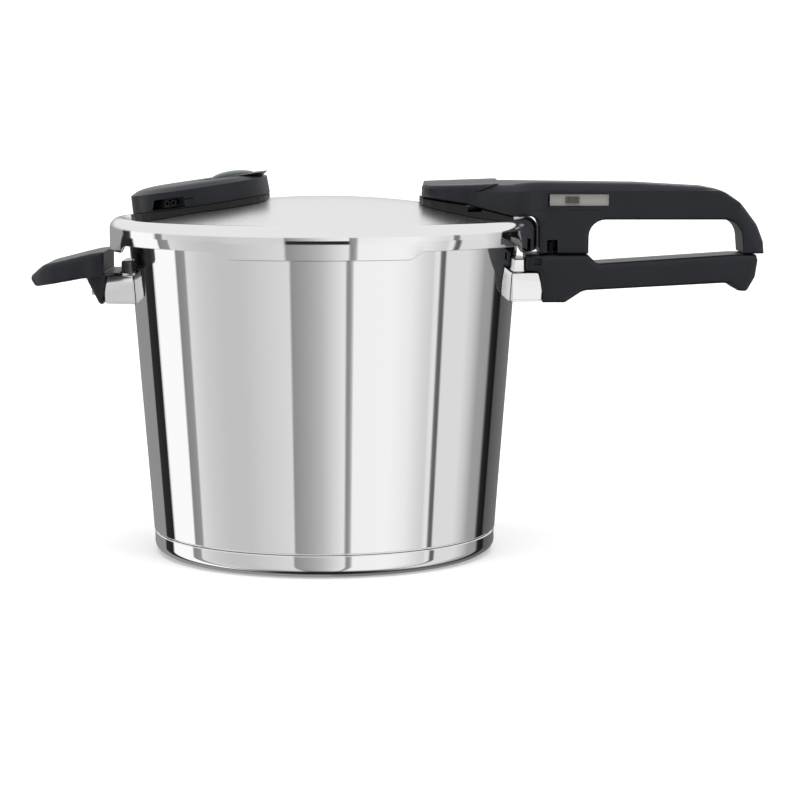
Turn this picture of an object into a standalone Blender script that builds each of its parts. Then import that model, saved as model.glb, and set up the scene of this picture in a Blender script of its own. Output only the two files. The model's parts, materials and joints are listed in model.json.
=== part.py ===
"""Stovetop pressure cooker: a conical steel pot with a bayonet lid, two pot handles, a long lid handle
with a slide-operated lock, and a pressure valve with a rising indicator.

Metres, +Z up. The pot's axis is Z and its base rests on Z = 0. The long handles point along +X and the
helper handle along -X.
"""
import math

import bmesh
import bpy
from mathutils import Matrix, Vector

# Pot
MOUTH_R = 0.110          # inside radius at the rim
POT_H = 0.184            # top of the rim flange above the base
WALL_T = 0.0010
WALL_TAPER = 0.0756      # radius lost per metre of depth
BASE_H = 0.0129          # height of the encapsulated base's side
BASE_EDGE_R = 0.0080     # rounding of the base's lower edge
CORE_H = 0.0074
FLANGE_W = 0.0062        # rim flange, from the wall to the outer edge
FLANGE_DROP = 0.0078     # turned-down edge of each rim lug
LUG_HALF = 17.0          # degrees each side of a rim lug's middle

# Lid
LID_T = 0.0010
LID_RISE = 0.0193        # top of the dome above the pot's rim
RIDGE_RISE = 0.0079      # raised ring round the dome, above the pot's rim
RIDGE_R = 0.0062         # rounding of that ring
SKIRT_GAP = 0.0034       # from the rim lugs to the inside of the lid's skirt
SKIRT_SHALLOW = 0.0060   # how far the skirt reaches below the pot's rim between the bayonet wings
SKIRT_DEEP = 0.0102      # and at the wings
WING_HALF = 23.3         # degrees each side of a bayonet wing's middle
WING_BLEND = 4.4         # degrees over which the skirt's edge steps up
TAB_GAP = 0.0007         # from a rim lug to a bayonet tab, radially

# Handles
SPLIT_DROP = 0.0129      # pot handle's top below the pot's rim
HANDLE_W = 0.036
HANDLE_REACH = 0.1279    # from the lid's skirt to the tip of the lid handle
HOOD_W = 0.088
HOOD_IN = 0.0660         # how far the lid handle's hood reaches over the dome
GRIP_LEN = 0.0862
GRIP_H = 0.0192
GRIP_START = 0.0285      # from the lid's skirt to the grip opening
GUARD_W = 0.040
GUARD_FLARE = 0.0070     # how far the guard spreads, each side, where it meets the wall
GUARD_LEN = 0.0160
GUARD_H = 0.0243
HELPER_REACH = 0.0453    # from the lid's skirt to the helper handle's tip
HELPER_W = 0.070

# Lock
SLIDER_LEN = 0.0334
SLIDER_H = 0.0065
SLIDER_TRAVEL = 0.0060
BOLT_W = 0.0040

# Pressure valve and its housing
HOUSING_LEN = 0.078
HOUSING_W = 0.088
HOUSING_CORNER = 0.026
HOUSING_H = 0.0107
HOUSING_TILT = math.radians(8.3)
VALVE_IN = 0.0721        # from the lid's skirt in to the valve's axis
INDICATOR_R = 0.0132
INDICATOR_RISE = 0.0055
VALVE_STEM_R = 0.0080

# Vent valve
VENT_IN = 0.0556         # from the lid's skirt in to the vent's axis
VENT_STEM_R = 0.0050
VENT_RISE = 0.0030

CLEAR = 0.0003           # between pieces that seat on each other
RUN = 0.0004             # between pieces that slide or turn
STEPS = 60               # facets round the pot and the lid
SMALL_STEPS = 20

LUG_R = MOUTH_R + WALL_T + FLANGE_W
SKIRT_IN = LUG_R + SKIRT_GAP
LID_R = SKIRT_IN + LID_T
SPLIT_Z = POT_H - SPLIT_DROP
RIDGE_Z = POT_H + RIDGE_RISE
DOME_TOP = POT_H + LID_RISE
DOME_R = LID_R - 2 * RIDGE_R
DOME_EDGE = RIDGE_Z - 0.0022
VALVE_X = VALVE_IN - LID_R
VENT_X = LID_R - VENT_IN


# Scene and materials

for old in list(bpy.data.objects):
    bpy.data.objects.remove(old, do_unlink=True)
parts = bpy.data.collections.new("pressure_cooker")
cutters = bpy.data.collections.new("cutters")
bpy.context.scene.collection.children.link(parts)
bpy.context.scene.collection.children.link(cutters)


def material(name, color, roughness, metallic=0.0):
    made = bpy.data.materials.new(name)
    made.use_nodes = True
    shader = made.node_tree.nodes["Principled BSDF"]
    shader.inputs["Base Color"].default_value = (*color, 1.0)
    shader.inputs["Roughness"].default_value = roughness
    shader.inputs["Metallic"].default_value = metallic
    return made


POLISHED = material("polished_steel", (0.78, 0.78, 0.80), 0.08, 1.0)
SATIN = material("satin_steel", (0.62, 0.62, 0.64), 0.30, 1.0)
ALUMINIUM = material("aluminium", (0.72, 0.73, 0.75), 0.35, 1.0)
PLASTIC = material("handle_plastic", (0.035, 0.040, 0.052), 0.38)
BLACK = material("black_plastic", (0.012, 0.012, 0.014), 0.45)
SLIDER = material("slider_plastic", (0.42, 0.40, 0.38), 0.35)
GRIP_INSERT = material("grip_insert", (0.16, 0.15, 0.14), 0.5)
SILICONE = material("silicone", (0.55, 0.56, 0.57), 0.55)
INDICATOR = material("indicator_green", (0.03, 0.07, 0.06), 0.12)


# Shape helpers

def keep(obj, mat):
    """Puts a finished object among the parts, with its own material."""
    for home in list(obj.users_collection):
        home.objects.unlink(obj)
    parts.objects.link(obj)
    obj.data.materials.clear()
    own = mat.copy()
    own.name = f"{obj.name}_{mat.name}"
    obj.data.materials.append(own)
    return obj


def helper(obj):
    """Puts an object among the cutters, out of every render."""
    for home in list(obj.users_collection):
        home.objects.unlink(obj)
    cutters.objects.link(obj)
    obj.hide_render = True
    obj.display_type = "WIRE"
    return obj


def mesh_object(name, points, edges=(), faces=()):
    mesh = bpy.data.meshes.new(name)
    mesh.from_pydata([tuple(p) for p in points], list(edges), list(faces))
    obj = bpy.data.objects.new(name, mesh)
    bpy.context.scene.collection.objects.link(obj)
    return obj


def turned(name, profile, frame=None, steps=STEPS, ring=False):
    """A solid of revolution: (radius, height) points that run down the outer side. A ring's profile closes."""
    points = [(r, 0.0, z) for r, z in profile]
    edges = [(i, i + 1) for i in range(len(points) - 1)]
    if ring:
        edges.append((len(points) - 1, 0))
    obj = mesh_object(name, points, edges)
    screw = obj.modifiers.new("turn", "SCREW")
    screw.axis = "Z"
    screw.steps = steps
    screw.render_steps = steps
    screw.use_merge_vertices = True
    screw.merge_threshold = 1e-5
    return solid(obj, frame)


def solid(obj, frame=None):
    """The object with its modifiers and transform put into its mesh, its doubles merged, and `frame` applied."""
    bpy.context.view_layer.update()
    graph = bpy.context.evaluated_depsgraph_get()
    mesh = bpy.data.meshes.new_from_object(obj.evaluated_get(graph))
    mesh.transform(obj.matrix_world if frame is None else frame @ obj.matrix_world)
    name = obj.name
    bpy.data.objects.remove(obj, do_unlink=True)
    work = bmesh.new()
    work.from_mesh(mesh)
    bmesh.ops.remove_doubles(work, verts=work.verts, dist=2e-6)
    bmesh.ops.dissolve_limit(work, angle_limit=math.radians(0.5), verts=work.verts, edges=work.edges)
    work.to_mesh(mesh)
    work.free()
    made = bpy.data.objects.new(name, mesh)
    bpy.context.scene.collection.objects.link(made)
    return made


SIDE = Matrix.Rotation(math.pi / 2, 4, "X")   # stands an outline's (x, y) up as (x, z)


def extruded(name, outline, depth, frame=None):
    """A flat outline given thickness `depth`, half each way along its own Z, then moved by `frame`."""
    curve = bpy.data.curves.new(name, "CURVE")
    curve.dimensions = "2D"
    curve.fill_mode = "BOTH"
    curve.extrude = depth / 2
    spline = curve.splines.new("POLY")
    spline.points.add(len(outline) - 1)
    for point, (x, y) in zip(spline.points, outline):
        point.co = (x, y, 0.0, 1.0)
    spline.use_cyclic_u = True
    obj = bpy.data.objects.new(name, curve)
    bpy.context.scene.collection.objects.link(obj)
    return solid(obj, frame)


def box(name, low, high, frame=None):
    bpy.ops.mesh.primitive_cube_add(size=1.0)
    obj = bpy.context.object
    obj.name = name
    low, high = Vector(low), Vector(high)
    obj.data.transform(Matrix.Translation((low + high) / 2) @ Matrix.Diagonal((*(high - low), 1.0)))
    return solid(obj, frame)


def rod(name, radius, low, high, frame=None, steps=SMALL_STEPS):
    return turned(name, [(0, high), (radius, high), (radius, low), (0, low)], frame, steps)


def tube(name, outer, inner, low, high, frame=None, steps=SMALL_STEPS):
    profile = [(inner, high), (outer, high), (outer, low), (inner, low)]
    return turned(name, profile, frame, steps, ring=True)


def hex_nut(name, corner_r, bore_r, low, high, frame):
    nut = rod(name, corner_r, low, high, frame, 6)
    return solid(cut(nut, rod(name + "_bore", bore_r, low - 0.001, high + 0.001, frame)))


def bevelled(obj, width, segments=2, angle=40.0):
    bevel = obj.modifiers.new("bevel", "BEVEL")
    bevel.width = width
    bevel.segments = segments
    bevel.limit_method = "ANGLE"
    bevel.angle_limit = math.radians(angle)
    return solid(obj)


def combined(obj, operation, *others):
    for number, other in enumerate(others):
        step = obj.modifiers.new(f"{operation.lower()}_{number}", "BOOLEAN")
        step.operation = operation
        step.solver = "EXACT"
        step.object = helper(other)
    return obj


def cut(obj, *others):
    return combined(obj, "DIFFERENCE", *others)


def joined(obj, *others):
    return combined(obj, "UNION", *others)


def arc(center, radius, start, end, count):
    """Points on a circle from `start` to `end` degrees, ends included."""
    angles = [math.radians(start + (end - start) * i / count) for i in range(count + 1)]
    return [(center[0] + radius * math.cos(a), center[1] + radius * math.sin(a)) for a in angles]


def rounded(low, high, radius, count=4):
    """A rectangle with round corners."""
    corners = [((high[0], high[1]), 0), ((low[0], high[1]), 90), ((low[0], low[1]), 180), ((high[0], low[1]), 270)]
    points = []
    for (x, y), start in corners:
        inset_x = x - math.copysign(radius, x - (low[0] + high[0]) / 2)
        inset_y = y - math.copysign(radius, y - (low[1] + high[1]) / 2)
        points += arc((inset_x, inset_y), radius, start, start + 90, count)
    return points


def ring_sector(name, middle, half, inner, outer, low, top_of, count=10):
    """A block that follows a circle: its top height is a function of the angle from its middle, in degrees."""
    points, faces = [], []
    for i in range(count + 1):
        offset = -half + 2 * half * i / count
        angle = math.radians(middle + offset)
        for radius, height in ((inner, low), (outer, low), (outer, top_of(offset)), (inner, top_of(offset))):
            points.append((radius * math.cos(angle), radius * math.sin(angle), height))
    for i in range(count):
        a, b = 4 * i, 4 * i + 4
        faces += [(a + k, a + (k + 1) % 4, b + (k + 1) % 4, b + k) for k in range(4)]
    faces += [(3, 2, 1, 0), tuple(4 * count + k for k in range(4))]
    obj = mesh_object(name, points, (), faces)
    work = bmesh.new()
    work.from_mesh(obj.data)
    bmesh.ops.recalc_face_normals(work, faces=work.faces)
    work.to_mesh(obj.data)
    work.free()
    return obj


# Curves that several pieces share

def wall_r(z):
    """Outside radius of the pot's wall at height z."""
    return MOUTH_R + WALL_T - WALL_TAPER * (POT_H - z)


def dome_z(r):
    """Height of the lid's dome at radius r."""
    return DOME_TOP - (DOME_TOP - DOME_EDGE) * (r / DOME_R) ** 2


def dome_frame(x):
    """The frame on the dome's outer surface above X = x, with its Z along the surface's normal."""
    slope = 2 * (DOME_TOP - DOME_EDGE) * x / DOME_R ** 2
    return Matrix.Translation((x, 0, dome_z(abs(x)))) @ Matrix.Rotation(math.atan(slope), 4, "Y")


def lid_line(grow):
    """The lid's outer line from the axis to the skirt, moved outwards by `grow`."""
    ridge = (LID_R - RIDGE_R, RIDGE_Z - RIDGE_R)
    dome = [(DOME_R * i / 9, dome_z(DOME_R * i / 9) + grow) for i in range(9)]
    gutter = [(DOME_R, DOME_EDGE + grow)]
    shoulder = arc(ridge, RIDGE_R + grow, 125, 0, 8)
    return dome + gutter + shoulder


# Pot: wall, floor and rim in one pressing, with four bayonet lugs on the rim

FLOOR_Z = WALL_T + CLEAR + CORE_H + CLEAR      # underside of the pot's floor
inner_r = wall_r(BASE_H) - WALL_T
wall_foot = wall_r(BASE_H + 0.0011)
pot_profile = [
    (MOUTH_R, POT_H),
    (LUG_R, POT_H),
    (LUG_R, POT_H - FLANGE_DROP),
    (LUG_R - WALL_T, POT_H - FLANGE_DROP),
    (LUG_R - WALL_T, POT_H - WALL_T),
    (wall_r(POT_H - WALL_T), POT_H - WALL_T),
    (wall_foot, BASE_H + 0.0011),
    (wall_foot - 0.0010, BASE_H + CLEAR),
    (wall_foot - 0.0022, BASE_H),
    (wall_foot - 0.0048, FLOOR_Z + 0.0012),
    (wall_foot - 0.0085, FLOOR_Z),
    (0, FLOOR_Z),
]
pot_profile += [
    (0, FLOOR_Z + WALL_T),
    (inner_r - 0.0075, FLOOR_Z + WALL_T),
    (inner_r - 0.0035, FLOOR_Z + WALL_T + 0.0015),
    (inner_r - 0.0004, BASE_H + 0.0045),
]


def turned_closed(name, profile, frame=None, steps=STEPS):
    """A revolved solid whose profile touches the axis in its middle and closes on its first point."""
    axis = next(i for i, (r, _) in enumerate(profile) if r == 0 and profile[i + 1][0] == 0)
    return turned(name, profile[axis + 1:] + profile[:axis + 1], frame, steps)


pot_body = turned_closed("pot_body", pot_profile)
for number in range(4):
    gap = ring_sector(
        f"rim_gap_{number}", 45 + 90 * number, 45 - LUG_HALF, LUG_R - 0.0027, LUG_R + 0.010,
        POT_H - 0.020, lambda offset: POT_H + 0.010,
    )
    cut(pot_body, gap)
keep(solid(pot_body), POLISHED)

core_r = wall_foot - 0.0090
keep(rod("base_core", core_r, WALL_T + CLEAR, WALL_T + CLEAR + CORE_H, steps=STEPS), ALUMINIUM)

capsule_r = wall_foot - 0.0004
capsule = [(capsule_r - WALL_T, BASE_H - 0.0002), (capsule_r, BASE_H - 0.0002)]
capsule += [
    (capsule_r - BASE_EDGE_R + BASE_EDGE_R * math.cos(a), BASE_EDGE_R * 0.7 * (1 - math.sin(a)))
    for a in (math.radians(90 * i / 5) for i in range(6))
]
capsule += [(0, 0), (0, WALL_T)]
capsule += [
    (capsule_r - BASE_EDGE_R + (BASE_EDGE_R - WALL_T) * math.cos(a), WALL_T + (BASE_EDGE_R * 0.7 - WALL_T) * (1 - math.sin(a)))
    for a in (math.radians(90 * (5 - i) / 5) for i in range(6))
]
keep(turned_closed("base_capsule", capsule), POLISHED)


# Lid shell, with four bayonet wings whose edges are bent in under the rim lugs

valve_frame = dome_frame(VALVE_X)
vent_frame = dome_frame(VENT_X)
WING_Z = POT_H - SKIRT_DEEP
tab_in = LUG_R + TAB_GAP
lid_profile = lid_line(0) + [(LID_R, WING_Z), (tab_in, WING_Z), (tab_in, WING_Z + LID_T), (SKIRT_IN, WING_Z + LID_T)]
lid_profile += list(reversed(lid_line(-LID_T)))
lid_shell = turned("lid_shell", lid_profile)


def skirt_edge(offset):
    """Height of the skirt's edge between two wings: it steps up from wing to shallow edge along an S."""
    inside = (45 - WING_HALF - abs(offset)) / WING_BLEND
    share = min(max(inside, 0.0), 1.0)
    return WING_Z + (SKIRT_DEEP - SKIRT_SHALLOW) * share ** 2 * (3 - 2 * share) - 1e-5


for number in range(4):
    notch = ring_sector(
        f"skirt_notch_{number}", 45 + 90 * number, 45 - WING_HALF, LUG_R - 0.004, LID_R + 0.010,
        WING_Z - 0.010, skirt_edge, count=28,
    )
    cut(lid_shell, notch)
BASE_SCREW_X = LID_R - 0.0205
cut(
    lid_shell,
    rod("valve_hole", VALVE_STEM_R + CLEAR, -0.01, 0.01, valve_frame),
    rod("vent_hole", VENT_STEM_R + CLEAR, -0.01, 0.01, vent_frame),
    rod("base_screw_hole", 0.0018, -0.01, 0.01, dome_frame(BASE_SCREW_X)),
)
keep(solid(lid_shell), POLISHED)

ring_low, ring_high = POT_H + CLEAR, RIDGE_Z - LID_T - 0.0014
ring_in, ring_out = MOUTH_R + 0.0022, SKIRT_IN - RUN
lip = (ring_high - ring_low) * 0.36
sealing_ring = [
    (ring_in, ring_high),
    (ring_out - 0.0022, ring_high),
    (ring_out, ring_high - 0.0030),
    (ring_out, ring_low),
    (ring_in, ring_low),
    (ring_in, ring_low + lip),
    (ring_out - 0.0036, ring_low + lip),
    (ring_out - 0.0036, ring_high - lip),
    (ring_in, ring_high - lip),
]
keep(turned("sealing_ring", sealing_ring, ring=True), SILICONE)


# Brackets, flame guards, long pot handle and helper handle

def pot_cone(name):
    """The pot's outside with the seating clearance, for cutting what fits against the wall."""
    top = POT_H - FLANGE_DROP / 2
    return turned(name, [(0, top), (wall_r(top) + CLEAR, top), (wall_r(0) + CLEAR, 0), (0, 0)])


TONGUE_W, TONGUE_H = 0.016, 0.008
GUARD_TOP = SPLIT_Z - 0.0026
GUARD_FOOT = GUARD_TOP - GUARD_H
TONGUE_Z = GUARD_FOOT + 0.0085
guard_x = wall_r(GUARD_FOOT) + GUARD_LEN
flare_x = guard_x - 0.0165
guard_plan = [
    (flare_x - 0.0500, -GUARD_W / 2 - GUARD_FLARE),
    (flare_x - 0.0043, -GUARD_W / 2 - GUARD_FLARE),
    (flare_x, -GUARD_W / 2),
    (guard_x + 0.0100, -GUARD_W / 2),
]
guard_plan += [(x, -y) for x, y in reversed(guard_plan)]


def handle_side(mirror):
    return Matrix.Diagonal((mirror, 1, 1, 1))


def fixed_bracket(name, mirror, reach, screw_x):
    """A tongue that holds a handle, on a foot plate welded to the wall."""
    inner = wall_r(TONGUE_Z) - 0.012
    tongue = box(name, (inner, -TONGUE_W / 2, TONGUE_Z), (reach, TONGUE_W / 2, TONGUE_Z + TONGUE_H))
    foot_x = wall_r(TONGUE_Z + TONGUE_H) + 0.0025
    foot = box(name + "_foot", (inner, -TONGUE_W / 2 - 0.001, TONGUE_Z - 0.001),
               (foot_x, TONGUE_W / 2 + 0.001, TONGUE_Z + TONGUE_H + 0.001))
    joined(tongue, foot)
    bracket = cut(solid(tongue), pot_cone(name + "_wall"),
                  rod(name + "_hole", SCREW_R + CLEAR, -0.05, 0.05, Matrix.Translation((screw_x, 0, TONGUE_Z))))
    return turned_over(solid(bracket), mirror)


def turned_over(obj, mirror):
    """A piece designed on the +X side, turned half a circle about the pot's axis when `mirror` is -1."""
    if mirror < 0:
        obj.data.transform(Matrix.Rotation(math.pi, 4, "Z"))
    return obj


def flame_guard(name, mirror, drop):
    """A steel sleeve round the bracket, with a narrow neck that reaches up behind the handle's plastic."""
    foot, top = GUARD_FOOT - drop, GUARD_TOP - drop
    neck_x = guard_x - 0.0098
    inner = wall_r(foot) - 0.012
    outline = [
        (inner, top), (neck_x, top), (neck_x, foot + 0.0170), (guard_x - 0.0022, foot + 0.0162), (guard_x, foot), (inner, foot),
    ]
    body = bevelled(extruded(name, outline, GUARD_W + 2 * GUARD_FLARE, SIDE), 0.0012, 2)
    combined(body, "INTERSECT", extruded(name + "_plan", guard_plan, 0.12, Matrix.Translation((0, 0, top))))
    hollow = box(name + "_hollow", (inner - 0.01, -TONGUE_W / 2 - 0.0014, TONGUE_Z - 0.0014),
                 (guard_x + 0.01, TONGUE_W / 2 + 0.0014, TONGUE_Z + TONGUE_H + 0.0014))
    return turned_over(solid(cut(solid(body), pot_cone(name + "_wall"), hollow)), mirror)


SCREW_R, SCREW_HEAD_R, SCREW_HEAD_H = 0.0025, 0.0046, 0.0026


def screw(name, x, seat, tip, mirror=1, radius=SCREW_R, head_r=SCREW_HEAD_R, head_h=SCREW_HEAD_H, frame=None):
    """A screw driven upwards: its head's top is at `seat`, and its shank ends at `tip`."""
    profile = [(0, tip), (radius, tip), (radius, seat), (head_r, seat), (head_r, seat - head_h),
               (head_r * 0.45, seat - head_h), (head_r * 0.45, seat - head_h * 0.45), (0, seat - head_h * 0.45)]
    place = Matrix.Translation((x, 0, 0)) if frame is None else frame
    return turned_over(turned(name, profile, place, 16), mirror)


def screw_space(name, x, seat, tip, foot, frame=None, radius=SCREW_R, head_r=SCREW_HEAD_R):
    """The hole and counterbore for a screw, open downwards to `foot`."""
    profile = [(0, tip + CLEAR), (radius + CLEAR, tip + CLEAR), (radius + CLEAR, seat + CLEAR),
               (head_r + CLEAR, seat + CLEAR), (head_r + CLEAR, foot), (0, foot)]
    return turned(name, profile, Matrix.Translation((x, 0, 0)) if frame is None else frame, 16)


def tongue_space(name, reach):
    return box(name, (0.05, -TONGUE_W / 2 - CLEAR, TONGUE_Z - CLEAR),
               (reach + CLEAR, TONGUE_W / 2 + CLEAR, TONGUE_Z + TONGUE_H + CLEAR))


POT_TONGUE_END = guard_x + 0.0140
POT_SCREW_X = guard_x + 0.0070
HELPER_TONGUE_END = guard_x + 0.0085
HELPER_SCREW_X = guard_x + 0.0045
keep(fixed_bracket("pot_handle_bracket", 1, POT_TONGUE_END, POT_SCREW_X), SATIN)
keep(fixed_bracket("helper_bracket", -1, HELPER_TONGUE_END, HELPER_SCREW_X), SATIN)
keep(flame_guard("pot_flame_guard", 1, 0.0), POLISHED)
keep(flame_guard("helper_flame_guard", -1, 0.0012), POLISHED)

TIP_X = LID_R + HANDLE_REACH
GRIP_X0 = LID_R + GRIP_START
GRIP_X1 = GRIP_X0 + GRIP_LEN
neck_gap = guard_x - 0.0098 + CLEAR
pot_top = SPLIT_Z - RUN / 2
pot_outline = [
    (neck_gap, pot_top),
    (GRIP_X0 - 0.0003, pot_top),
    (GRIP_X0 + 0.0047, pot_top - 0.0051),
    (TIP_X - 0.0169, pot_top),
    (TIP_X - 0.0040, pot_top),
    (TIP_X - 0.0034, pot_top - 0.0030),
    (TIP_X - 0.0048, pot_top - 0.0127),
    (TIP_X - 0.0085, pot_top - 0.0195),
    (TIP_X - 0.0095, pot_top - 0.0211),
    (TIP_X - 0.0145, pot_top - 0.0209),
    (TIP_X - 0.0205, pot_top - 0.0162),
    (GRIP_X0 - 0.0028, pot_top - 0.0206),
    (GRIP_X0 - 0.0131, GUARD_FOOT - 0.0008),
    (guard_x + CLEAR, GUARD_FOOT - 0.0008),
    (guard_x - 0.0022 + CLEAR, GUARD_FOOT + 0.0162 + CLEAR),
    (neck_gap, GUARD_FOOT + 0.0170 + CLEAR),
]
pot_handle = bevelled(extruded("pot_handle", pot_outline, HANDLE_W, SIDE), 0.0024, 2, 50)
POT_SCREW_SEAT = GUARD_FOOT + 0.0045
POT_SCREW_TIP = TONGUE_Z + TONGUE_H - 0.001
CATCH_X = LID_R + 0.0080
CATCH_T, CATCH_W, CATCH_H = 0.0020, 0.0100, 0.0062
cut(
    pot_handle,
    tongue_space("pot_tongue_space", POT_TONGUE_END),
    screw_space("pot_screw_space", POT_SCREW_X, POT_SCREW_SEAT, POT_SCREW_TIP, GUARD_FOOT - 0.02),
    box("catch_socket", (CATCH_X - CATCH_T / 2 - CLEAR, -CATCH_W / 2 - CLEAR, SPLIT_Z - 0.0060),
        (CATCH_X + CATCH_T / 2 + CLEAR, CATCH_W / 2 + CLEAR, SPLIT_Z + 0.01)),
)
pot_handle = solid(pot_handle)
POCKET_X0, POCKET_LEN, POCKET_DEEP = guard_x - 0.0045, 0.0040, 0.0030
for side in (-1, 1):
    y0, y1 = side * (HANDLE_W / 2 - POCKET_DEEP), side * (HANDLE_W / 2 + 0.01)
    cut(pot_handle, box(f"pocket_{side}", (POCKET_X0, min(y0, y1), pot_top - 0.0062), (POCKET_X0 + POCKET_LEN, max(y0, y1), pot_top - 0.0020)))
keep(solid(pot_handle), PLASTIC)
keep(screw("pot_handle_screw", POT_SCREW_X, POT_SCREW_SEAT, POT_SCREW_TIP), SATIN)

catch = box("lock_catch", (CATCH_X - CATCH_T / 2, -CATCH_W / 2, SPLIT_Z - 0.0060 + CLEAR),
            (CATCH_X + CATCH_T / 2, CATCH_W / 2, SPLIT_Z + CATCH_H))
catch_eye = box("catch_eye", (CATCH_X - 0.01, -0.0025, SPLIT_Z + 0.0015), (CATCH_X + 0.01, 0.0025, SPLIT_Z + 0.0045))
keep(solid(cut(catch, catch_eye)), SATIN)

helper_root = guard_x - 0.0012 + CLEAR
helper_top = SPLIT_Z + 0.0024
wing_in, wing_out = LID_R + 0.0010, LID_R + HELPER_REACH
wing = [
    (wing_in, helper_top),
    (wing_out - 0.0105, helper_top - 0.0072),
    (wing_out - 0.0012, helper_top - 0.0138),
    (wing_out, helper_top - 0.0155),
    (wing_out - 0.0030, helper_top - 0.0200),
    (wing_in + 0.0105, helper_top - 0.0148),
    (wing_in, helper_top - 0.0120),
]
wing_plan = [
    (wing_in - 0.002, -HELPER_W / 2 + 0.008),
    (wing_in + 0.006, -HELPER_W / 2),
    (wing_out - 0.016, -HELPER_W / 2 + 0.004),
    (wing_out - 0.004, -HELPER_W / 2 + 0.014),
    (wing_out + 0.001, -HELPER_W / 2 + 0.024),
]
wing_plan += [(x, -y) for x, y in reversed(wing_plan)]
helper_handle = extruded("helper_handle", wing, HELPER_W, SIDE)
combined(helper_handle, "INTERSECT",
         extruded("wing_plan", wing_plan, 0.10, Matrix.Translation((0, 0, helper_top))))
helper_handle = bevelled(solid(helper_handle), 0.0018, 2, 30)
boss = [
    (guard_x - 0.0098 + CLEAR, helper_top - 0.0030),
    (guard_x + 0.0142, helper_top - 0.0080),
    (guard_x + 0.0092, helper_top - 0.0150),
    (guard_x + 0.0067, helper_top - 0.0220),
    (guard_x + 0.0027, helper_top - 0.0280),
    (guard_x + CLEAR + 0.0004, GUARD_FOOT - 0.0020),
    (guard_x - 0.0022 + CLEAR, GUARD_FOOT + 0.0152 + CLEAR),
    (guard_x - 0.0098 + CLEAR, GUARD_FOOT + 0.0160 + CLEAR),
]
HELPER_SCREW_SEAT = GUARD_FOOT + 0.0055
joined(helper_handle, bevelled(extruded("helper_boss", boss, GUARD_W - 0.001, SIDE), 0.0015, 2, 50))
helper_handle = solid(helper_handle)
cut(
    helper_handle,
    tongue_space("helper_tongue_space", HELPER_TONGUE_END),
    screw_space("helper_screw_space", HELPER_SCREW_X, HELPER_SCREW_SEAT, POT_SCREW_TIP, GUARD_FOOT - 0.02),
    turned("helper_skirt_space", [(0, POT_H + 0.01), (LID_R + 0.0008, POT_H + 0.01),
                                  (LID_R + 0.0008, WING_Z - 0.001), (0, WING_Z - 0.001)]),
)
keep(turned_over(solid(helper_handle), -1), PLASTIC)
keep(screw("helper_handle_screw", HELPER_SCREW_X, HELPER_SCREW_SEAT, POT_SCREW_TIP, -1), SATIN)


# Lid handle: a hood over the dome that narrows to a long grip, on a base plate that follows the dome

def dome_space(name, gap=CLEAR):
    """The lid's outside with a clearance, down past its skirt, for cutting what sits on it."""
    low = WING_Z - 0.02
    return turned(name, lid_line(gap) + [(LID_R + gap, low), (0, low)])


HOOD_X = LID_R - HOOD_IN
handle_low = SPLIT_Z + RUN / 2
handle_top = RIDGE_Z + 0.0203
SEAM_END = LID_R - 0.0144
seam = [(HOOD_X - 0.0005, RIDGE_Z + 0.0115), (HOOD_X + 0.0245, RIDGE_Z + 0.0080), (SEAM_END, RIDGE_Z + 0.0007)]
grip_top = handle_low + GRIP_H
grip_round = 0.0130
opening = [(GRIP_X1, handle_low - 0.005), (GRIP_X1, handle_low)]
opening += arc((GRIP_X1 - grip_round, grip_top - grip_round), grip_round, 0, 90, 5)
opening += arc((GRIP_X0 + grip_round, grip_top - grip_round), grip_round, 90, 180, 5)
opening += [(GRIP_X0, handle_low - 0.005)]
handle_outline = [
    (HOOD_X, seam[0][1]),
    (HOOD_X + 0.0015, handle_top - 0.0002),
    (HOOD_X + 0.0420, handle_top + 0.0012),
    (HOOD_X + 0.0424, handle_top + 0.0004),
    (TIP_X - 0.0730, handle_top - 0.0007),
    (TIP_X - 0.0348, handle_top - 0.0028),
    (TIP_X - 0.0239, handle_top - 0.0050),
    (TIP_X - 0.0129, handle_top - 0.0126),
    (TIP_X - 0.0038, handle_top - 0.0247),
    (TIP_X - 0.0001, handle_top - 0.0345),
    (TIP_X, handle_low),
    (LID_R + 0.0007, handle_low),
    (LID_R + 0.0007, RIDGE_Z - 0.0045),
    (LID_R - 0.0030, RIDGE_Z + 0.0007),
    (SEAM_END, RIDGE_Z + 0.0007),
    seam[1],
]
half, hood = HANDLE_W / 2, HOOD_W / 2
HOOD_SPREAD = [     # distance from the hood's tip, and share of the way from the grip's width to the hood's
    (0.0, 0.077), (0.0015, 0.327), (0.0060, 0.596), (0.0140, 0.865), (0.0244, 1.0), (0.0330, 0.969), (0.0430, 0.731),
    (0.0530, 0.385), (0.0600, 0.115), (0.0680, 0.0), (TIP_X + 0.0010 - HOOD_X, 0.0),
]
plan = [(HOOD_X + reach, -half - (hood - half) * share) for reach, share in HOOD_SPREAD]
plan += [(x, -y) for x, y in reversed(plan)]
PLAN_FRAME = Matrix.Translation((0, 0, POT_H))
lid_handle = extruded("lid_handle", handle_outline, HOOD_W + 0.01, SIDE)
combined(lid_handle, "INTERSECT", extruded("hood_plan", plan, 0.12, PLAN_FRAME))
lid_handle = solid(lid_handle)
cut(lid_handle, extruded("grip_opening", opening, HOOD_W + 0.02, SIDE))
lid_handle = bevelled(solid(lid_handle), 0.0030, 2, 55)

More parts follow.
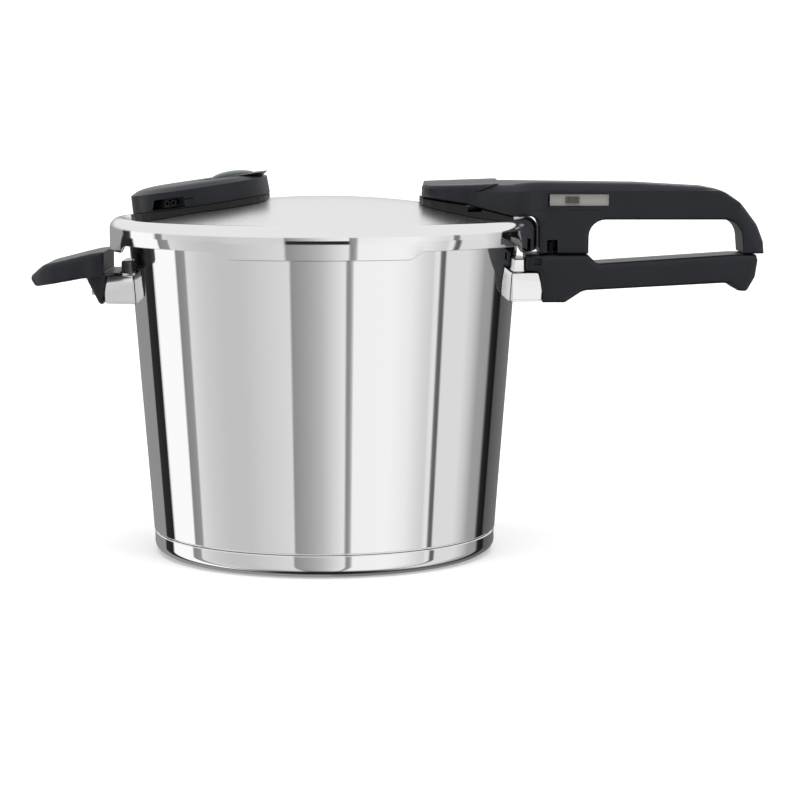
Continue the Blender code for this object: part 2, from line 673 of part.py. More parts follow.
SLIDER_X1 = LID_R + 0.0399
SLIDER_X0 = SLIDER_X1 - SLIDER_LEN
SLIDER_Z = RIDGE_Z + 0.0064
SKIN = 0.0015
CHAMBER_TOP = SLIDER_Z + SLIDER_H + 0.0048
BOLT_X = SLIDER_X0 + 0.0090
slot_half = HANDLE_W / 2 - SKIN
BOLT_HALF = 0.0045
vent_hood = rod("vent_hood", 0.0095, -0.002, 0.0090, vent_frame)
HANDLE_SCREWS = (
    ("lid_handle_screw_front", HOOD_X + 0.0130, -0.0150),
    ("lid_handle_screw_back", HOOD_X + 0.0130, 0.0150),
    ("lid_handle_screw_rear", HOOD_X + 0.0370, 0.0),
)
SCREW_LIFT = 0.0011
NOTCH_X0, NOTCH_LEN, NOTCH_FOOT = HOOD_X + 0.0251, 0.0079, RIDGE_Z + 0.0042
THIN, THIN_HEAD, THIN_HEAD_H = 0.0012, 0.0022, 0.0009


def handle_screw_heights(x, y):
    """Head seat and tip of a screw that holds the hood to the base plate above a point of the dome."""
    height = dome_z(math.hypot(x, y))
    return height + CLEAR + SCREW_LIFT + THIN_HEAD_H, height + 0.0095


cut(
    lid_handle,
    dome_space("handle_dome_space"),
    box("slider_chamber", (SLIDER_X0 - SLIDER_TRAVEL - 0.0015, -slot_half, SLIDER_Z - RUN),
        (SLIDER_X1 + 0.0010, slot_half, SLIDER_Z + SLIDER_H + RUN)),
    box("slider_window", (SLIDER_X0 - 0.0018, -HANDLE_W, SLIDER_Z + 0.0002),
        (SLIDER_X1 + 0.0002, HANDLE_W, SLIDER_Z + SLIDER_H - 0.0002)),
    box("bolt_guide", (BOLT_X - BOLT_W / 2 - RUN, -BOLT_HALF - RUN, handle_low - 0.01),
        (BOLT_X + BOLT_W / 2 + RUN, BOLT_HALF + RUN, CHAMBER_TOP)),
    box("catch_channel", (CATCH_X - 0.0031, -HANDLE_W, handle_low - 0.01),
        (CATCH_X + 0.0029, CATCH_W / 2 + 2 * RUN, handle_low + 0.0080)),
    vent_hood,
    box("steam_channel", (VENT_X, -0.0018, RIDGE_Z), (NOTCH_X0 + 0.0020, 0.0018, RIDGE_Z + 0.0105)),
)
lid_handle = solid(lid_handle)
for name, x, y in HANDLE_SCREWS:
    seat, tip = handle_screw_heights(x, y)
    place = Matrix.Translation((x, y, 0))
    cut(lid_handle, screw_space(name + "_thread", 0, seat, tip, seat - 0.02, place, THIN, THIN_HEAD))
keep(solid(lid_handle), PLASTIC)

base_low = DOME_EDGE - 0.02
base_side = [(HOOD_X - 0.0012, base_low)] + [(HOOD_X - 0.0012, seam[0][1] - CLEAR - 0.0002)]
base_side += [(seam[1][0], seam[1][1] - CLEAR), (seam[2][0], seam[2][1] - CLEAR), (SEAM_END, base_low)]
base_side.reverse()
lid_handle_base = extruded("lid_handle_base", base_side, HOOD_W + 0.01, SIDE)
combined(lid_handle_base, "INTERSECT", extruded("base_plan", plan, 0.12, PLAN_FRAME @ Matrix.Translation((-0.0008, 0, 0))))
lid_handle_base = solid(lid_handle_base)
cut(lid_handle_base, dome_space("base_dome_space"),
    rod("vent_passage", VENT_STEM_R + CLEAR, -0.02, 0.02, vent_frame),
    box("steam_notch", (NOTCH_X0, -HOOD_W, NOTCH_FOOT), (NOTCH_X0 + NOTCH_LEN, HOOD_W, NOTCH_FOOT + 0.02)))
lid_handle_base = solid(lid_handle_base)
for name, x, y in HANDLE_SCREWS:
    seat, tip = handle_screw_heights(x, y)
    place = Matrix.Translation((x, y, 0))
    cut(lid_handle_base, screw_space(name + "_space", 0, seat, tip, seat - 0.02, place, THIN, THIN_HEAD))
base_screw_frame = dome_frame(BASE_SCREW_X)
cut(lid_handle_base, rod("base_thread", 0.0018, -0.02, 0.0012 + CLEAR, base_screw_frame, 16))
keep(solid(lid_handle_base), BLACK)

for name, x, y in HANDLE_SCREWS:
    seat, tip = handle_screw_heights(x, y)
    keep(screw(name, 0, seat, tip, 1, THIN, THIN_HEAD, THIN_HEAD_H, Matrix.Translation((x, y, 0))), SATIN)
keep(screw("lid_base_screw", 0, -LID_T - CLEAR, 0.0012, 1, 0.0015, 0.0034, 0.0018, base_screw_frame), SATIN)


# Lock: the slider in the handle's side windows lifts a bolt, and a spring pushes the bolt down again

slider = box("release_slider", (SLIDER_X0, -slot_half + RUN, SLIDER_Z), (SLIDER_X1, slot_half - RUN, SLIDER_Z + SLIDER_H))
cut(slider, box("slider_slot", (BOLT_X - BOLT_W / 2 - RUN - 0.0005, -BOLT_HALF - 2 * RUN, SLIDER_Z - 0.01),
                (BOLT_X + BOLT_W / 2 + RUN + SLIDER_TRAVEL, BOLT_HALF + 2 * RUN, SLIDER_Z + 0.02)))
keep(solid(slider), SLIDER)

GRIP_PAD_LEN, GRIP_PAD_H = 0.0078, 0.0036
for side, name in ((-1, "slider_grip_front"), (1, "slider_grip_back")):
    x0, z0 = SLIDER_X0 + 0.0088, SLIDER_Z + 0.0014
    face = slot_half - RUN + CLEAR
    pad = box(name, (x0, min(side * face, side * (face + 0.0008)), z0),
              (x0 + GRIP_PAD_LEN, max(side * face, side * (face + 0.0008)), z0 + GRIP_PAD_H))
    for rib in range(3):
        rib_x = x0 + GRIP_PAD_LEN * (rib + 1) / 4
        cut(pad, box(f"{name}_groove_{rib}", (rib_x - 0.0004, side * (face + 0.0006) - 0.0003, z0 - 0.001),
                     (rib_x + 0.0004, side * (face + 0.0006) + 0.0003, z0 + GRIP_PAD_H + 0.001)))
    keep(solid(pad), GRIP_INSERT)

BOLT_TOP = SLIDER_Z + SLIDER_H - 0.0010
BOLT_LIFT = SLIDER_TRAVEL / 3
bolt = box("lock_bolt", (BOLT_X - BOLT_W / 2, -BOLT_HALF, handle_low + 0.0002),
           (BOLT_X + BOLT_W / 2, BOLT_HALF, BOLT_TOP))
keep(solid(cut(bolt, box("bolt_nose", (BOLT_X - 0.01, BOLT_HALF - 0.0015, handle_low - 0.01),
                         (BOLT_X + 0.01, BOLT_HALF + 0.01, handle_low + 0.0040)))), SATIN)


def coil(name, radius, wire, low, high, turns, frame=None):
    """A spring on its own Z axis: a helix whose last half turn at each end lies flat."""
    count = int(turns * 12)
    curve = bpy.data.curves.new(name, "CURVE")
    curve.dimensions = "3D"
    curve.bevel_depth = wire
    curve.bevel_resolution = 1
    curve.use_fill_caps = True
    spline = curve.splines.new("POLY")
    spline.points.add(count)
    for i, point in enumerate(spline.points):
        share = min(max((i - 6) / (count - 12), 0.0), 1.0)
        angle = 2 * math.pi * i / 12
        height = low + wire + (high - low - 2 * wire) * share
        point.co = (radius * math.cos(angle), radius * math.sin(angle), height, 1.0)
    obj = bpy.data.objects.new(name, curve)
    bpy.context.scene.collection.objects.link(obj)
    return solid(obj, frame)


keep(coil("lock_spring", 0.0016, 0.0003, BOLT_TOP + CLEAR, CHAMBER_TOP - CLEAR, 3.5,
          Matrix.Translation((BOLT_X, 0, 0))), SATIN)


# Vent valve in the lid under the hood: it closes as the pot heats and drops open as it cools

keep(turned("vent_body", [
    (0.0028, 0.0072), (VENT_STEM_R, 0.0072), (VENT_STEM_R, -LID_T - 0.0018), (0.0082, -LID_T - 0.0018),
    (0.0082, -LID_T - 0.0042), (0.0028, -LID_T - 0.0042)], vent_frame, SMALL_STEPS, ring=True), SATIN)
keep(tube("vent_gasket", 0.0078, VENT_STEM_R + CLEAR, -LID_T - 0.0018 + CLEAR, -LID_T - CLEAR, vent_frame), SILICONE)
keep(hex_nut("vent_nut", 0.0080, VENT_STEM_R + CLEAR, 0.0046, 0.0068, vent_frame), SATIN)
keep(turned("vent_pin", [
    (0, 0.0056), (0.0023, 0.0056), (0.0023, -LID_T - 0.0046 - VENT_RISE), (0.0042, -LID_T - 0.0046 - VENT_RISE),
    (0.0042, -LID_T - 0.0064 - VENT_RISE), (0, -LID_T - 0.0064 - VENT_RISE)], vent_frame, SMALL_STEPS), SATIN)


# Pressure valve: the indicator rises through the housing against a spring

housing_mid = -(LID_R - 0.0516)
seam_mid = dome_z(-housing_mid) + 0.0016
housing_frame = Matrix.Translation((housing_mid, 0, seam_mid)) @ Matrix.Rotation(-HOUSING_TILT, 4, "Y")
L, W = HOUSING_LEN / 2, HOUSING_W / 2
INDICATOR_BASE = 0.0093
RING_R = INDICATOR_R + 0.0028
housing = extruded("valve_housing", rounded((-L, -W), (L, W), HOUSING_CORNER, 6), HOUSING_H,
                   Matrix.Translation((0, 0, HOUSING_H / 2)))
bpy.context.view_layer.update()
top_soft = housing.modifiers.new("bevel", "BEVEL")
top_soft.width = 0.0026
top_soft.segments = 2
top_soft.limit_method = "ANGLE"
top_soft.angle_limit = math.radians(60)
housing = solid(housing, housing_frame)
OUTLET_X = -0.0156
OUTLETS = (("steam_outlet_outer", OUTLET_X + 0.0002), ("steam_outlet_inner", OUTLET_X + 0.0038))
OUTLET_R, OUTLET_BORE_R = 0.0015, 0.0009
cut(
    housing,
    extruded("housing_hollow", rounded((-0.0060, -W + 0.0070), (L - 0.0050, W - 0.0070), 0.018, 4), 2 * HOUSING_H - 0.0048, housing_frame),
    rod("indicator_well", RING_R + CLEAR, -0.002, 0.03, valve_frame, 32),
    box("steam_window_front", (OUTLET_X - 0.0100, -W - 0.01, 0.0005), (OUTLET_X + 0.0098, -W + 0.0080, 0.0063), housing_frame),
    box("steam_window_back", (OUTLET_X - 0.0100, W - 0.0080, 0.0005), (OUTLET_X + 0.0098, W + 0.01, 0.0063), housing_frame),
)
housing = solid(housing)


def outlet_frame(x):
    return housing_frame @ Matrix.Translation((x, 0, 0.0036)) @ Matrix.Rotation(math.pi / 2, 4, "X")


for name, x in OUTLETS:
    cut(housing, rod(name + "_bore", OUTLET_R + CLEAR / 2, -W, W, outlet_frame(x), 16))
for side in (-1, 1):
    y0, y1 = side * (W - 0.0012), side * (W + 0.01)
    cut(housing, box(f"steam_slit_{side}", (OUTLET_X + 0.0090, min(y0, y1), 0.0036), (OUTLET_X + 0.0150, max(y0, y1), 0.0043),
                     housing_frame))
HOUSING_SCREWS = (("housing_screw_front", -0.0140), ("housing_screw_back", 0.0140))
housing_screw_x = -L + 0.0085


def housing_screw_frame(y):
    return housing_frame @ Matrix.Translation((housing_screw_x, y, 0))


for name, y in HOUSING_SCREWS:
    cut(housing, rod(name + "_bore", THIN + CLEAR, -0.01, 0.0070 + CLEAR, housing_screw_frame(y), 16))
keep(solid(housing), PLASTIC)

valve_base = extruded("valve_base", rounded((-L + CLEAR, -W + CLEAR), (L - CLEAR, W - CLEAR), HOUSING_CORNER, 6), 0.020,
                      housing_frame @ Matrix.Translation((0, 0, -0.010 - CLEAR)))
cut(valve_base, dome_space("valve_dome_space"),
    rod("valve_passage", VALVE_STEM_R + CLEAR, -0.02, 0.02, valve_frame))
valve_base = solid(valve_base)
for name, y in HOUSING_SCREWS:
    space = screw_space(name + "_space", 0, -0.0010, 0.0070, -0.02, housing_screw_frame(y), THIN, THIN_HEAD)
    cut(valve_base, space)
keep(solid(valve_base), BLACK)
for name, y in HOUSING_SCREWS:
    keep(screw(name, 0, -0.0010, 0.0070, 1, THIN, THIN_HEAD, THIN_HEAD_H * 0.8, housing_screw_frame(y)), SATIN)

for name, x in OUTLETS:
    keep(tube(name, OUTLET_R, OUTLET_BORE_R, -W + 0.0045, W - 0.0045, outlet_frame(x), 16), BLACK)

STEM_R = 0.0035
BORE_R = STEM_R + RUN
BODY_FOOT = -LID_T - 0.0056
STEM_FOOT = BODY_FOOT - 0.0108
keep(turned("valve_body", [
    (BORE_R, 0.0052), (VALVE_STEM_R, 0.0052), (VALVE_STEM_R, -LID_T - 0.0026), (0.0130, -LID_T - 0.0026),
    (0.0130, BODY_FOOT), (BORE_R, BODY_FOOT)], valve_frame, 24, ring=True), SATIN)
keep(tube("valve_gasket", 0.0120, VALVE_STEM_R + CLEAR, -LID_T - 0.0026 + CLEAR, -LID_T - CLEAR, valve_frame, 24), SILICONE)
keep(hex_nut("valve_nut", 0.0118, VALVE_STEM_R + CLEAR, 0.0028, 0.0050, valve_frame), SATIN)
keep(turned("indicator_stem", [
    (0, INDICATOR_BASE - CLEAR), (STEM_R, INDICATOR_BASE - CLEAR), (STEM_R, STEM_FOOT), (0.0065, STEM_FOOT),
    (0.0065, STEM_FOOT - 0.0012), (0.0030, STEM_FOOT - 0.0030), (0, STEM_FOOT - 0.0030)], valve_frame, SMALL_STEPS), SATIN)
keep(coil("valve_spring", 0.0050, 0.0005, STEM_FOOT + CLEAR, BODY_FOOT - CLEAR, 4, valve_frame), SATIN)
cap_edge = INDICATOR_BASE + 0.0042
cap_rise = 0.0040
cap_profile = [(0, cap_edge + cap_rise)]
cap_profile += [
    (INDICATOR_R * math.sin(a), cap_edge + cap_rise * math.cos(a)) for a in (math.radians(90 * i / 5) for i in range(1, 6))
]
cap_profile += [(INDICATOR_R, INDICATOR_BASE), (0, INDICATOR_BASE)]
keep(turned("indicator_cap", cap_profile, valve_frame, 32), INDICATOR)
keep(turned("indicator_ring", [
    (INDICATOR_R + RUN, 0.0137), (RING_R - 0.0008, 0.0137), (RING_R, 0.0130), (RING_R, 0.0108), (INDICATOR_R + RUN, 0.0108)],
    valve_frame, 32, ring=True), SATIN)
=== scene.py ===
"""A stovetop pressure cooker: a polished steel pot with a bayonet lid, moulded handles and a pressure valve.

Metres, +Z up. The pot's axis is Z and its base rests on Z = 0; the long handles point along +X.
"""
import json
import math

import bpy
import numpy as np
from mathutils import Matrix, Vector
from mathutils.geometry import delaunay_2d_cdt


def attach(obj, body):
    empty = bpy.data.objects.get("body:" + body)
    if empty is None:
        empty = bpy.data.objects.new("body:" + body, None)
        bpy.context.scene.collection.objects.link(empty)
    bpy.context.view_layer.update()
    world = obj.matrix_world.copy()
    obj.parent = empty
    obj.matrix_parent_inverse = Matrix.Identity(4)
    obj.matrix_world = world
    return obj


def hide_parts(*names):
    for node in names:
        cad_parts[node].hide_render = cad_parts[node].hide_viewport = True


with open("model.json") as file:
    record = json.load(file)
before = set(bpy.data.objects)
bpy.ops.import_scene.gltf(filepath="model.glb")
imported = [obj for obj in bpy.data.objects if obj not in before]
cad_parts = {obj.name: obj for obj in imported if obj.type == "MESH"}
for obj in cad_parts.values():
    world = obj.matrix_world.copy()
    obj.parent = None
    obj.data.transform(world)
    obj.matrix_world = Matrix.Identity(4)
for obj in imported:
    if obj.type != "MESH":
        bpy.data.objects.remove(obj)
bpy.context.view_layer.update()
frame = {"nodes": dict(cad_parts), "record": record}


# ---------------------------------------------------------------------------------------------------------
# Studio: a pale table, soft lamps overhead and on the backdrop, and a white room with grey and dark screens.
# The room is what the polished steel mirrors, so its tones run in vertical bands round the horizon.

CAMERA_DISTANCE, CAMERA_HEIGHT = 1.4378, 0.2594
CAMERA_AZIMUTH, CAMERA_TURN, CAMERA_DIP = 0.025, 0.0303, 0.12
LENS_MM = 113.1

camera = bpy.data.objects.new("camera", bpy.data.cameras.new("camera"))
bpy.context.scene.collection.objects.link(camera)
camera.data.lens = LENS_MM
camera.data.sensor_width = 36.0
camera.location = (CAMERA_DISTANCE * math.sin(CAMERA_AZIMUTH), -CAMERA_DISTANCE * math.cos(CAMERA_AZIMUTH),
    CAMERA_HEIGHT)
camera.rotation_euler = (math.pi / 2 - CAMERA_DIP, 0.0, CAMERA_AZIMUTH - CAMERA_TURN)
bpy.context.scene.camera = camera
bpy.context.scene.view_settings.view_transform = "Standard"

# Tone of the room against the angle from -Y towards +X, in degrees, as display grey 0 to 1
ROOM_LOW = [
    (-180, 0.56), (-135, 0.56), (-134, 0.18), (-122, 0.14), (-120.5, 1.0), (-98, 1.0), (-97.5, 0.52),
    (-90, 0.58),
    (-89.5, 0.87), (-78, 0.81), (-64, 0.77), (-50, 0.77), (-38, 0.81), (-19.5, 0.86), (-19, 0.56), (-8, 0.65),
    (0, 0.73), (7, 0.83), (14.5, 0.91), (15, 0.54), (18.2, 0.56), (18.6, 0.955), (44, 0.965), (56, 0.93),
    (66, 0.85), (71, 0.82), (72, 0.90), (75.5, 0.90), (76, 0.32), (79, 0.40), (79.5, 0.87), (98, 0.87),
    (106, 0.78), (114, 0.62), (124, 0.60), (127, 0.16), (136, 0.08), (138, 0.34), (180, 0.50),
]
ROOM_RIM = [
    (-180, 0.60), (-134, 0.62), (-133, 0.14), (-124, 0.24), (-122.5, 1.0), (-100, 1.0), (-99.5, 0.48),
    (-94, 0.54),
    (-93.5, 0.85), (-78, 0.82), (-60, 0.79), (-44, 0.82), (-19.5, 0.84), (-19, 0.13), (15, 0.16),
    (15.4, 0.55),
    (18.4, 0.62), (18.8, 0.94), (50, 0.965), (60, 0.92), (70, 0.86), (74, 0.90), (74.5, 0.45), (77.5, 0.48),
    (78, 0.88), (96, 0.88), (108, 0.76), (114.5, 0.72), (115, 0.10), (128, 0.06), (130, 0.56), (180, 0.56),
]
ROOM_PATCH = [(-180, 0.0), (-19.2, 0.0), (-19.0, 0.55), (-8, 0.72), (4, 0.90), (15.0, 0.95), (15.2, 0.0),
    (180, 0.0)]


def linear(tone):
    """Scene radiance for a display tone: the inverse of the sRGB curve."""
    return tone / 12.92 if tone <= 0.04045 else ((tone + 0.055) / 1.055) ** 2.4


def tone_ramp(nodes, links, angle_output, stops, name):
    """The room's tone round the horizon: a float curve whose points are the stops, over the angle -180 to
    180."""
    ramp = nodes.new("ShaderNodeFloatCurve")
    ramp.name = name
    curve = ramp.mapping.curves[0]
    ramp.mapping.use_clip = False
    while len(curve.points) > 2:
        curve.points.remove(curve.points[1])
    curve.points[0].location = ((stops[0][0] + 180) / 360, linear(stops[0][1]))
    curve.points[1].location = ((stops[-1][0] + 180) / 360, linear(stops[-1][1]))
    for angle, tone in stops[1:-1]:
        curve.points.new((angle + 180) / 360, linear(tone))
    for point in curve.points:
        point.handle_type = "VECTOR"
    ramp.mapping.update()
    links.new(angle_output, ramp.inputs["Value"])
    return ramp.outputs["Value"]


world = bpy.data.worlds.new("studio")
bpy.context.scene.world = world
world.use_nodes = True
wn, wl = world.node_tree.nodes, world.node_tree.links
wn.clear()
direction = wn.new("ShaderNodeTexCoord")
split = wn.new("ShaderNodeSeparateXYZ")
wl.new(direction.outputs["Generated"], split.inputs[0])


def maths(nodes, links, operation, a, b=None, clamp=False):
    node = nodes.new("ShaderNodeMath")
    node.operation = operation
    node.use_clamp = clamp
    for socket, value in zip(node.inputs, (a, b)):
        if value is None:
            continue
        if isinstance(value, (int, float)):
            socket.default_value = value
        else:
            links.new(value, socket)
    return node.outputs[0]


toward_front = maths(wn, wl, "MULTIPLY", split.outputs["Y"], -1.0)
azimuth = maths(wn, wl, "ARCTAN2", split.outputs["X"], toward_front)
azimuth_share = maths(wn, wl, "ADD", maths(wn, wl, "MULTIPLY", azimuth, 0.5 / math.pi), 0.5)
low_tone = tone_ramp(wn, wl, azimuth_share, ROOM_LOW, "low_room")
rim_tone = tone_ramp(wn, wl, azimuth_share, ROOM_RIM, "rim_room")
patch_tone = tone_ramp(wn, wl, azimuth_share, ROOM_PATCH, "patch")


def band(nodes, links, value, low, high):
    """0 below `low`, 1 above `high`, straight between."""
    node = nodes.new("ShaderNodeMapRange")
    node.inputs["From Min"].default_value = low
    node.inputs["From Max"].default_value = high
    links.new(value, node.inputs["Value"])
    return node.outputs["Result"]


def blended(nodes, links, share, a, b):
    node = nodes.new("ShaderNodeMix")
    node.data_type = "FLOAT"
    for socket, value in zip((node.inputs[0], node.inputs[2], node.inputs[3]), (share, a, b)):
        if isinstance(value, (int, float)):
            socket.default_value = value
        else:
            links.new(value, socket)
    return node.outputs[0]


height = split.outputs["Z"]
SKY_TONE = 0.92
over_patch = maths(wn, wl, "MULTIPLY", band(wn, wl, height, -0.0590, -0.0575), patch_tone)
rim_full = maths(wn, wl, "MAXIMUM", rim_tone, over_patch)
room = blended(wn, wl, band(wn, wl, height, -0.100, -0.092), low_tone, rim_full)
room = blended(wn, wl, band(wn, wl, height, 0.02, 0.16), room, linear(SKY_TONE))
floor_share = band(wn, wl, height, -0.96, -0.80)
room = blended(wn, wl, floor_share, linear(0.12), room)
path = wn.new("ShaderNodeLightPath")
shown = blended(wn, wl, path.outputs["Is Glossy Ray"], 0.42, room)
background = wn.new("ShaderNodeBackground")
wl.new(shown, background.inputs["Strength"])
background.inputs["Color"].default_value = (1.0, 1.0, 1.0, 1.0)
world_out = wn.new("ShaderNodeOutputWorld")
wl.new(background.outputs[0], world_out.inputs["Surface"])

for name, size, energy, place, tilt in (
    ("overhead", (1.6, 1.2), 25.0, (0.0, -0.25, 1.5), 0.0),
    ("backdrop", (5.0, 2.4), 60.0, (0.0, 0.9, 1.9), math.pi / 2),
):
    lamp = bpy.data.lights.new(name, "AREA")
    lamp.shape = "RECTANGLE"
    lamp.size, lamp.size_y = size
    lamp.energy = energy
    lit = bpy.data.objects.new(name, lamp)
    lit.location = place
    lit.rotation_euler = (tilt, 0.0, 0.0)
    lit.visible_glossy = False
    bpy.context.scene.collection.objects.link(lit)

floor_mesh = bpy.data.meshes.new("table")
FLOOR_HALF, BACK_Y, BACK_R, BACK_TOP = 6.0, 2.6, 1.2, 5.0
sweep = [(-4.0, 0.0), (BACK_Y - BACK_R, 0.0)]
sweep += [
    (BACK_Y - BACK_R + BACK_R * math.sin(a), BACK_R - BACK_R * math.cos(a)) for a in np.linspace(0.1,
        math.pi / 2, 12)
]
sweep += [(BACK_Y, BACK_TOP)]
floor_mesh.from_pydata(
    [(side * FLOOR_HALF, y, z) for side in (-1, 1) for y, z in sweep], [],
    [(i, len(sweep) + i, len(sweep) + i + 1, i + 1) for i in range(len(sweep) - 1)],
)
table = bpy.data.objects.new("table", floor_mesh)
bpy.context.scene.collection.objects.link(table)
table.visible_glossy = False
floor_mesh.shade_smooth()
paper = bpy.data.materials.new("pale_table")
paper.use_nodes = True
paper.node_tree.nodes["Principled BSDF"].inputs["Base Color"].default_value = (0.93, 0.93, 0.93, 1.0)
paper.node_tree.nodes["Principled BSDF"].inputs["Roughness"].default_value = 0.9
paper.node_tree.nodes["Principled BSDF"].inputs["Specular IOR Level"].default_value = 0.0
paper.node_tree.nodes["Principled BSDF"].inputs["Emission Color"].default_value = (1.0, 1.0, 1.0, 1.0)
paper.node_tree.nodes["Principled BSDF"].inputs["Emission Strength"].default_value = 0.18
floor_mesh.materials.append(paper)


# ---------------------------------------------------------------------------------------------------------
# Pot: one deep-drawn steel shell, mirror-polished outside and satin inside, with a flanged rim whose four
# lugs take the lid's bayonet. The wall leans out 4.3 degrees.

MOUTH_R, POT_H, WALL_T, WALL_TAPER = 0.110, 0.184, 0.0010, 0.0756
BASE_H, FLOOR_Z = 0.0129, 0.0090
LUG_R, FLANGE_DROP, LUG_HALF = 0.1172, 0.0078, 17.0


def wall_r(z):
    return MOUTH_R + WALL_T - WALL_TAPER * (POT_H - z)


def rounded_line(corners, count=6, closed=False):
    """A line through (x, y, radius) corners: each corner with a radius becomes an arc tangent to both its
    sides."""
    points = []
    last = len(corners) - 1
    for i, (x, y, radius) in enumerate(corners):
        here = np.array((x, y), float)
        if radius <= 0 or (not closed and i in (0, last)):
            points.append(here)
            continue
        before = np.array(corners[i - 1][:2], float) - here
        after = np.array(corners[(i + 1) % len(corners)][:2], float) - here
        la, lb = np.linalg.norm(before), np.linalg.norm(after)
        before, after = before / la, after / lb
        half = math.acos(np.clip(before @ after, -1, 1)) / 2
        if half > math.pi / 2 - 0.01:
            points.append(here)
            continue
        reach = min(radius / math.tan(half), 0.49 * la, 0.49 * lb)
        centre = here + (before + after) / np.linalg.norm(before + after) * reach / math.cos(half)
        first, final = here + before * reach - centre, here + after * reach - centre
        turn = math.atan2(first[0] * final[1] - first[1] * final[0], first @ final)
        for share in np.linspace(0, 1, count + 1):
            c, s = math.cos(turn * share), math.sin(turn * share)
            points.append(centre + np.array((c * first[0] - s * first[1], s * first[0] + c * first[1])))
    return np.array(points)


def sheet_mesh(name, points, faces, attribute=None):
    """A mesh object from a vertex array and a face list, smooth, with edges over 32 degrees kept sharp."""
    mesh = bpy.data.meshes.new(name)
    mesh.from_pydata(points.tolist(), [], faces)
    if attribute is not None:
        layer = mesh.attributes.new(attribute[0], "FLOAT", "POINT")
        layer.data.foreach_set("value", np.asarray(attribute[1], np.float32))
    mesh.shade_smooth()
    mesh.set_sharp_from_angle(angle=math.radians(32))
    made = bpy.data.objects.new(name, mesh)
    bpy.context.scene.collection.objects.link(made)
    return made


def turned(name, profile, steps=192, shape=None, frame_matrix=None, attribute=None):
    """A turned surface: point (i, j) is profile point j swung to angle i. A profile point on the axis
    becomes one pole; a profile that never meets the axis closes on itself. `shape` may bend the grid before
    it is put in."""
    profile = np.asarray(profile, float)
    poles = profile[0, 0] == 0
    ring = profile[1:-1] if poles else profile
    angle = np.linspace(0, 2 * np.pi, steps, endpoint=False)[:, None]
    radius, height = np.broadcast_to(ring[:, 0], (steps, len(ring))), np.broadcast_to(ring[:, 1],
        (steps, len(ring)))
    if shape is not None:
        radius, height = shape(np.degrees(angle), radius.copy(), height.copy())
    grid = np.stack([radius * np.cos(angle), radius * np.sin(angle), height], -1).reshape(-1, 3)
    count = len(ring)
    i, j = np.meshgrid(np.arange(steps), np.arange(count - (1 if poles else 0)), indexing="ij")
    i2, j2 = (i + 1) % steps, (j + 1) % count
    faces = np.stack([i * count + j, i * count + j2, i2 * count + j2, i2 * count + j], -1).reshape(-1,
        4).tolist()
    values = None if attribute is None else np.tile(np.asarray(attribute[1],
        float)[1:-1] if poles else attribute[1], steps)
    if poles:
        top, foot = len(grid), len(grid) + 1
        grid = np.vstack([grid, (0, 0, profile[0, 1]), (0, 0, profile[-1, 1])])
        around = np.arange(steps)
        following = (around + 1) % steps
        faces += np.stack([np.full(steps, top), around * count, following * count], -1).tolist()
        faces += np.stack([np.full(steps, foot), following * count + count - 1, around * count + count - 1],
            -1).tolist()
        if values is not None:
            values = np.append(values, (attribute[1][0], attribute[1][-1]))
    if frame_matrix is not None:
        turn = np.array(frame_matrix)
        grid = grid @ turn[:3, :3].T + turn[:3, 3]
    return sheet_mesh(name, grid, faces, None if attribute is None else (attribute[0], values))


def base_material(name, color, roughness, metallic):
    material = bpy.data.materials.new(name)
    material.use_nodes = True
    shader = material.node_tree.nodes["Principled BSDF"]
    shader.inputs["Base Color"].default_value = (*color, 1.0)
    shader.inputs["Roughness"].default_value = roughness
    shader.inputs["Metallic"].default_value = metallic
    return material, material.node_tree.nodes, material.node_tree.links, shader


def dress(piece, material, body=None, replaced=()):
    """Gives a piece its only material, says which body it rides on and hides the CAD nodes it stands for."""
    piece.data.materials.clear()
    piece.data.materials.append(material)
    if body:
        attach(piece, body)
    if replaced:
        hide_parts(*replaced)
    return piece


def polished_steel(name, roughness=0.035, wobble=0.010):
    """Mirror steel: a faint waviness from drawing and buffing, and fine wiping marks in the roughness."""
    material, nodes, links, shader = base_material(name, (0.95, 0.95, 0.955), roughness, 1.0)
    where = nodes.new("ShaderNodeTexCoord")
    smears = nodes.new("ShaderNodeTexNoise")
    smears.inputs["Scale"].default_value = 38.0
    smears.inputs["Detail"].default_value = 5.0
    links.new(where.outputs["Object"], smears.inputs["Vector"])
    spread = nodes.new("ShaderNodeMapRange")
    spread.inputs["From Min"].default_value = 0.3
    spread.inputs["From Max"].default_value = 0.75
    spread.inputs["To Min"].default_value = roughness * 0.7
    spread.inputs["To Max"].default_value = roughness * 1.6
    links.new(smears.outputs["Fac"], spread.inputs["Value"])
    links.new(spread.outputs["Result"], shader.inputs["Roughness"])
    waves = nodes.new("ShaderNodeTexNoise")
    waves.inputs["Scale"].default_value = 9.0
    waves.inputs["Detail"].default_value = 1.0
    links.new(where.outputs["Object"], waves.inputs["Vector"])
    bump = nodes.new("ShaderNodeBump")
    bump.inputs["Strength"].default_value = wobble
    bump.inputs["Distance"].default_value = 0.004
    links.new(waves.outputs["Fac"], bump.inputs["Height"])
    links.new(bump.outputs["Normal"], shader.inputs["Normal"])
    return material


